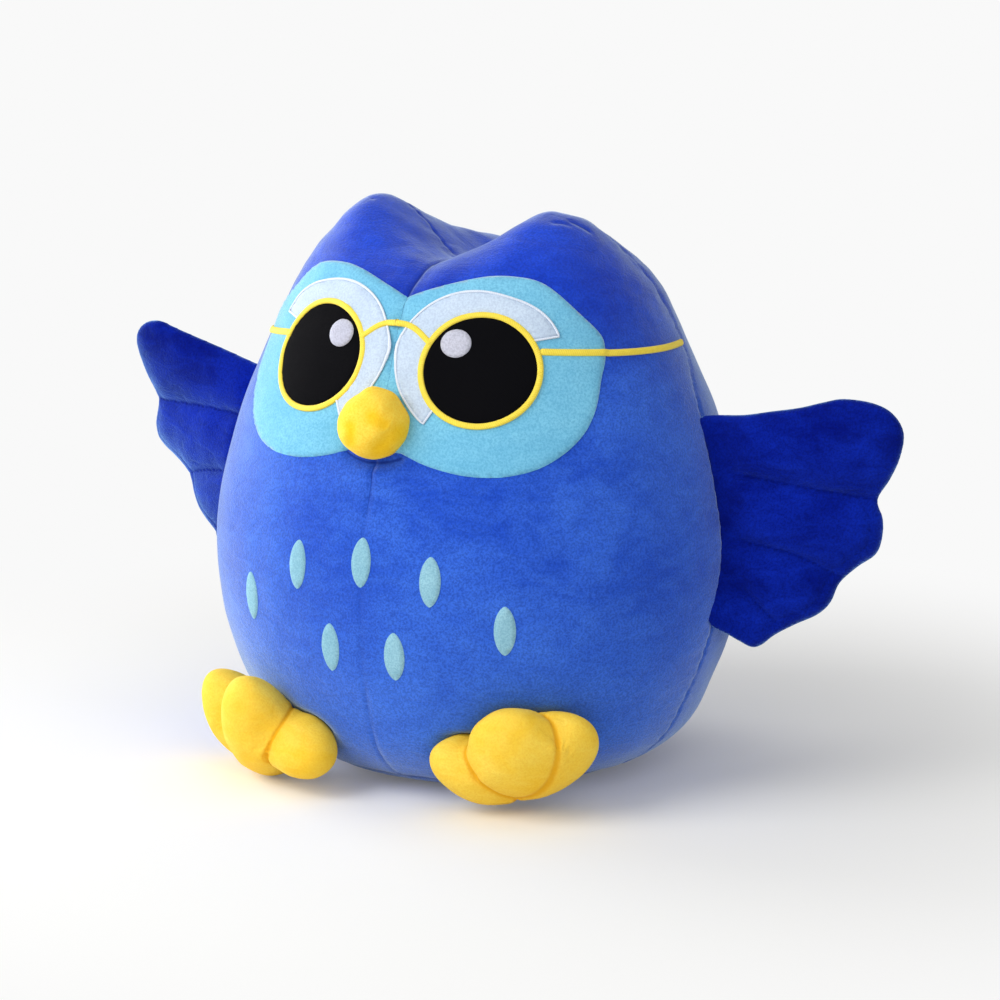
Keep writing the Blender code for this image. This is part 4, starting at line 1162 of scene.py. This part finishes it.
def wingSpot(flat, outline, lines):
    # Half the wing's thickness at a spot, its place on the seam map, and how firmly it is sewn there
    inside, around = nearLine(flat, [*outline, outline[0]])
    rise = math.sqrt(max(1 - (1 - min(inside / wing["fall"], 1)) ** 2, 0))
    root = fade(flat.x, *wing["rootFade"])
    hem = fade(flat.x, *wing["hemAlong"]) * (1 - fade(flat.y, *wing["hemUp"]))
    always, hidden = wing["hemFaint"]
    hemAway = abs(inside - wing["hemLine"]) + always + hidden * (1 - hem)
    seams = []
    fast = max(bell(inside, wing["edgeFast"]), bell(flat.x, wing["rootFast"]))
    for line in lines:
        near, run = nearLine(flat, line)
        drawn = 1
        for share, width in wing["drawnIn"]:
            drawn -= share * bell(near, width)
        rise *= drawn
        # Channels fade out towards the root and the edge, and the hem's stitching where it meets a channel
        faint = wing["rootFaint"] * (1 - fade(flat.x, *wing["rootFaintOver"]))
        seams.append((near + faint + faintNear(inside, wing["edgeFaint"]), run))
        hemAway += faintNear(near, wing["crossFaint"])
        fast = max(fast, bell(near, wing["channelFast"]))
    half = wing["edgeHalf"] * math.sqrt(min(inside / wing["edgeRound"], 1))
    half += wing["puff"] * rise * (wing["rootPuff"] + (1 - wing["rootPuff"]) * root)
    shown = wing["hemLeast"] + (1 - wing["hemLeast"]) * hem
    half -= wing["hemSink"] * bell(inside - wing["hemLine"], wing["hemWidth"]) * shown * root
    away, run = min([(hemAway, around), *seams])
    return half, run, away, fast


def makeWing(side, finish):
    label = labels[side]
    placed = wingFrame()
    toPlaced = placed.inverted()
    root = []
    for point in rootLine(8):
        point = toPlaced @ point
        root.append(Vector((point.x - wing["tuckedIn"], point.z)))
    tip = [Vector(share) * wing["reach"] for share in wing["outline"][side]]
    outline = smoothLoop(root + tip, 5)
    lines = [[point * mm for point in sample(channel, 6)] for channel in wing["channels"][side]]
    front = flatSheet(outline, wing["grid"], wing["insets"])
    mesh = bpy.data.meshes.new("wingSheet")
    front.to_mesh(mesh)
    front.free()
    bm = bmesh.new()
    sewn = bm.verts.layers.float.new("sewn")
    spots, seams = {}, {}
    for cover in (-1, 1):  # the front cloth and the back one
        start = len(bm.verts)
        bm.from_mesh(mesh)
        bm.verts.ensure_lookup_table()
        for vert in bm.verts[start:]:
            flat = Vector((vert.co.x, vert.co.y))
            key = (round(flat.x, 7), round(flat.y, 7))
            if key not in spots:
                spots[key] = wingSpot(flat, outline, lines)
            half, run, away, fast = spots[key]
            seams[vert] = (run, away)
            curl = wing["curls"][side] * flat.x / wing["reach"] * (wing["curlTop"] - flat.y / wing["reach"])
            ripple = noise.noise(Vector((flat.x, flat.y, (cover + 3 * side) * 0.02)) / wing["rippleSize"])
            ripple *= wing["ripple"] * min(half / wing["rippleFull"], 1) if half > wing["welded"] else 0
            vert.co = placed @ Vector((flat.x, cover * half + curl + ripple, flat.y))
            vert[sewn] = fast
    bpy.data.meshes.remove(mesh)
    mapSeams(bm, seams)
    bmesh.ops.remove_doubles(bm, verts=bm.verts, dist=wing["welded"])
    if side < 0:
        bmesh.ops.scale(bm, vec=(-1, 1, 1), verts=bm.verts)
    bmesh.ops.recalc_face_normals(bm, faces=bm.faces)
    held = [vert[sewn] for vert in bm.verts]
    piece = addPiece("wing" + label.capitalize(), bm, finish, None)
    puff(piece, wing["pressure"], wing["swell"], held)
    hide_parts("wing_" + label + "_front", "wing_" + label + "_back", "wing_" + label + "_wadding")
    hinge = placed.translation.copy()
    outward = placed.col[0].to_3d()
    hinge.x *= side
    outward.x *= side
    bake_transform(piece)


# The wing's dashed dark lines are partly the stitching and partly painted shade in the channels and along the
# hem, with painted shade on the cloth beside them
wingFinish = plushFinish("wingPlush", (0.0002, 0.0042, 0.18), (0.0028, 0.021, 0.41), (0.0002, 0.0015, 0.07),
                         sheen=1.0, bloom=0.36, tint=(0.30, 0.58, 1.0), seam=0.45, stitch=3.2 * mm)
for side in labels:
    makeWing(side, wingFinish)
print("wings ready")


# Studio: pale floor, soft light and the photograph's view

studio = {
    "azimuth": math.radians(29.7811), "elevation": math.radians(11.92486), "distance": 1.8,
    "target": (0, 0, 0.14), "lens": 129.6, "sensor": 36, "shiftX": 0.02525, "shiftY": -0.01709,
    "white": (0.947, 0.947, 0.947), "air": 0.29,
    # The floor lies just under the owl; the share of the background's white in it grows from floorNear to 1
    "floorDrop": 0.4 * mm, "floorSize": 6, "floorNear": 0.12, "floorFade": (0.17, 0.50),
    # Each lamp: how far it stands to the right, ahead and up, its distance, size and power
    "lamps": {"keyLight": (-1.0, 0.55, 0.72, 1.6, 1.3, 19.5), "fillLight": (0.35, 1.0, 0.55, 1.9, 1.5, 9),
              "topLight": (0.1, 0.1, 1.0, 1.6, 1.4, 4), "sideLight": (-1.1, -0.80, 0.12, 1.6, 1.0, 24)},
}


def makeStudio():
    right, upward, back = facing(studio["azimuth"], studio["elevation"])
    target = Vector(studio["target"])
    camera = bpy.data.cameras.new("photoView")
    camera.lens, camera.sensor_width = studio["lens"], studio["sensor"]
    camera.shift_x, camera.shift_y = studio["shiftX"], studio["shiftY"]
    holder = bpy.data.objects.new("photoView", camera)
    holder.matrix_world = frameOf((right, upward, back), target + back * studio["distance"])
    bpy.context.scene.collection.objects.link(holder)
    bpy.context.scene.camera = holder

    ahead = Vector((back.x, back.y, 0)).normalized()
    for name, (aside, forward, up, distance, size, power) in studio["lamps"].items():
        lamp = bpy.data.lights.new(name, "AREA")
        lamp.shape, lamp.size, lamp.energy = "DISK", size, power
        direction = (right * aside + ahead * forward + Vector((0, 0, up))).normalized()
        holder = bpy.data.objects.new(name, lamp)
        holder.location = target + direction * distance
        holder.rotation_mode = "QUATERNION"
        holder.rotation_quaternion = direction.to_track_quat("Z", "Y")
        bpy.context.scene.collection.objects.link(holder)

    world = bpy.data.worlds.new("studioWorld")
    world.use_nodes = True
    air = Nodes(world.node_tree)
    light = air.node("ShaderNodeBackground", inputs={"Color": (1.0, 1.0, 1.0), "Strength": studio["air"]})
    wall = air.node("ShaderNodeBackground", inputs={"Color": studio["white"], "Strength": 1.0})
    mixed = air.node("ShaderNodeMixShader", inputs={0: air.seen(), 1: light, 2: wall})
    air.feed(world.node_tree.nodes["World Output"].inputs["Surface"], mixed)
    bpy.context.scene.world = world

    finish = Finish("paleFloor", Roughness=0.9, Specular_IOR_Level=0.0, Base_Color=(0.90, 0.895, 0.865, 1))
    away = (finish.x * finish.x + finish.y * finish.y) ** 0.5
    white = away.above(*studio["floorFade"]) * (1 - studio["floorNear"]) + studio["floorNear"]
    glow = finish.node("ShaderNodeEmission", inputs={"Color": studio["white"], "Strength": 1.0})
    lit = Wire(finish, finish.shader.outputs["BSDF"])
    mixed = finish.node("ShaderNodeMixShader", inputs={0: finish.seen() * white, 1: lit, 2: glow})
    finish.feed(finish.tree.nodes["Material Output"].inputs["Surface"], mixed)
    bm = bmesh.new()
    bmesh.ops.create_grid(bm, x_segments=1, y_segments=1, size=studio["floorSize"])
    bmesh.ops.translate(bm, vec=(0, 0, -studio["floorDrop"]), verts=bm.verts)
    addPiece("paleFloor", bm, finish.material, None)


makeStudio()
bpy.context.scene.view_settings.view_transform = "Standard"
print("studio ready")
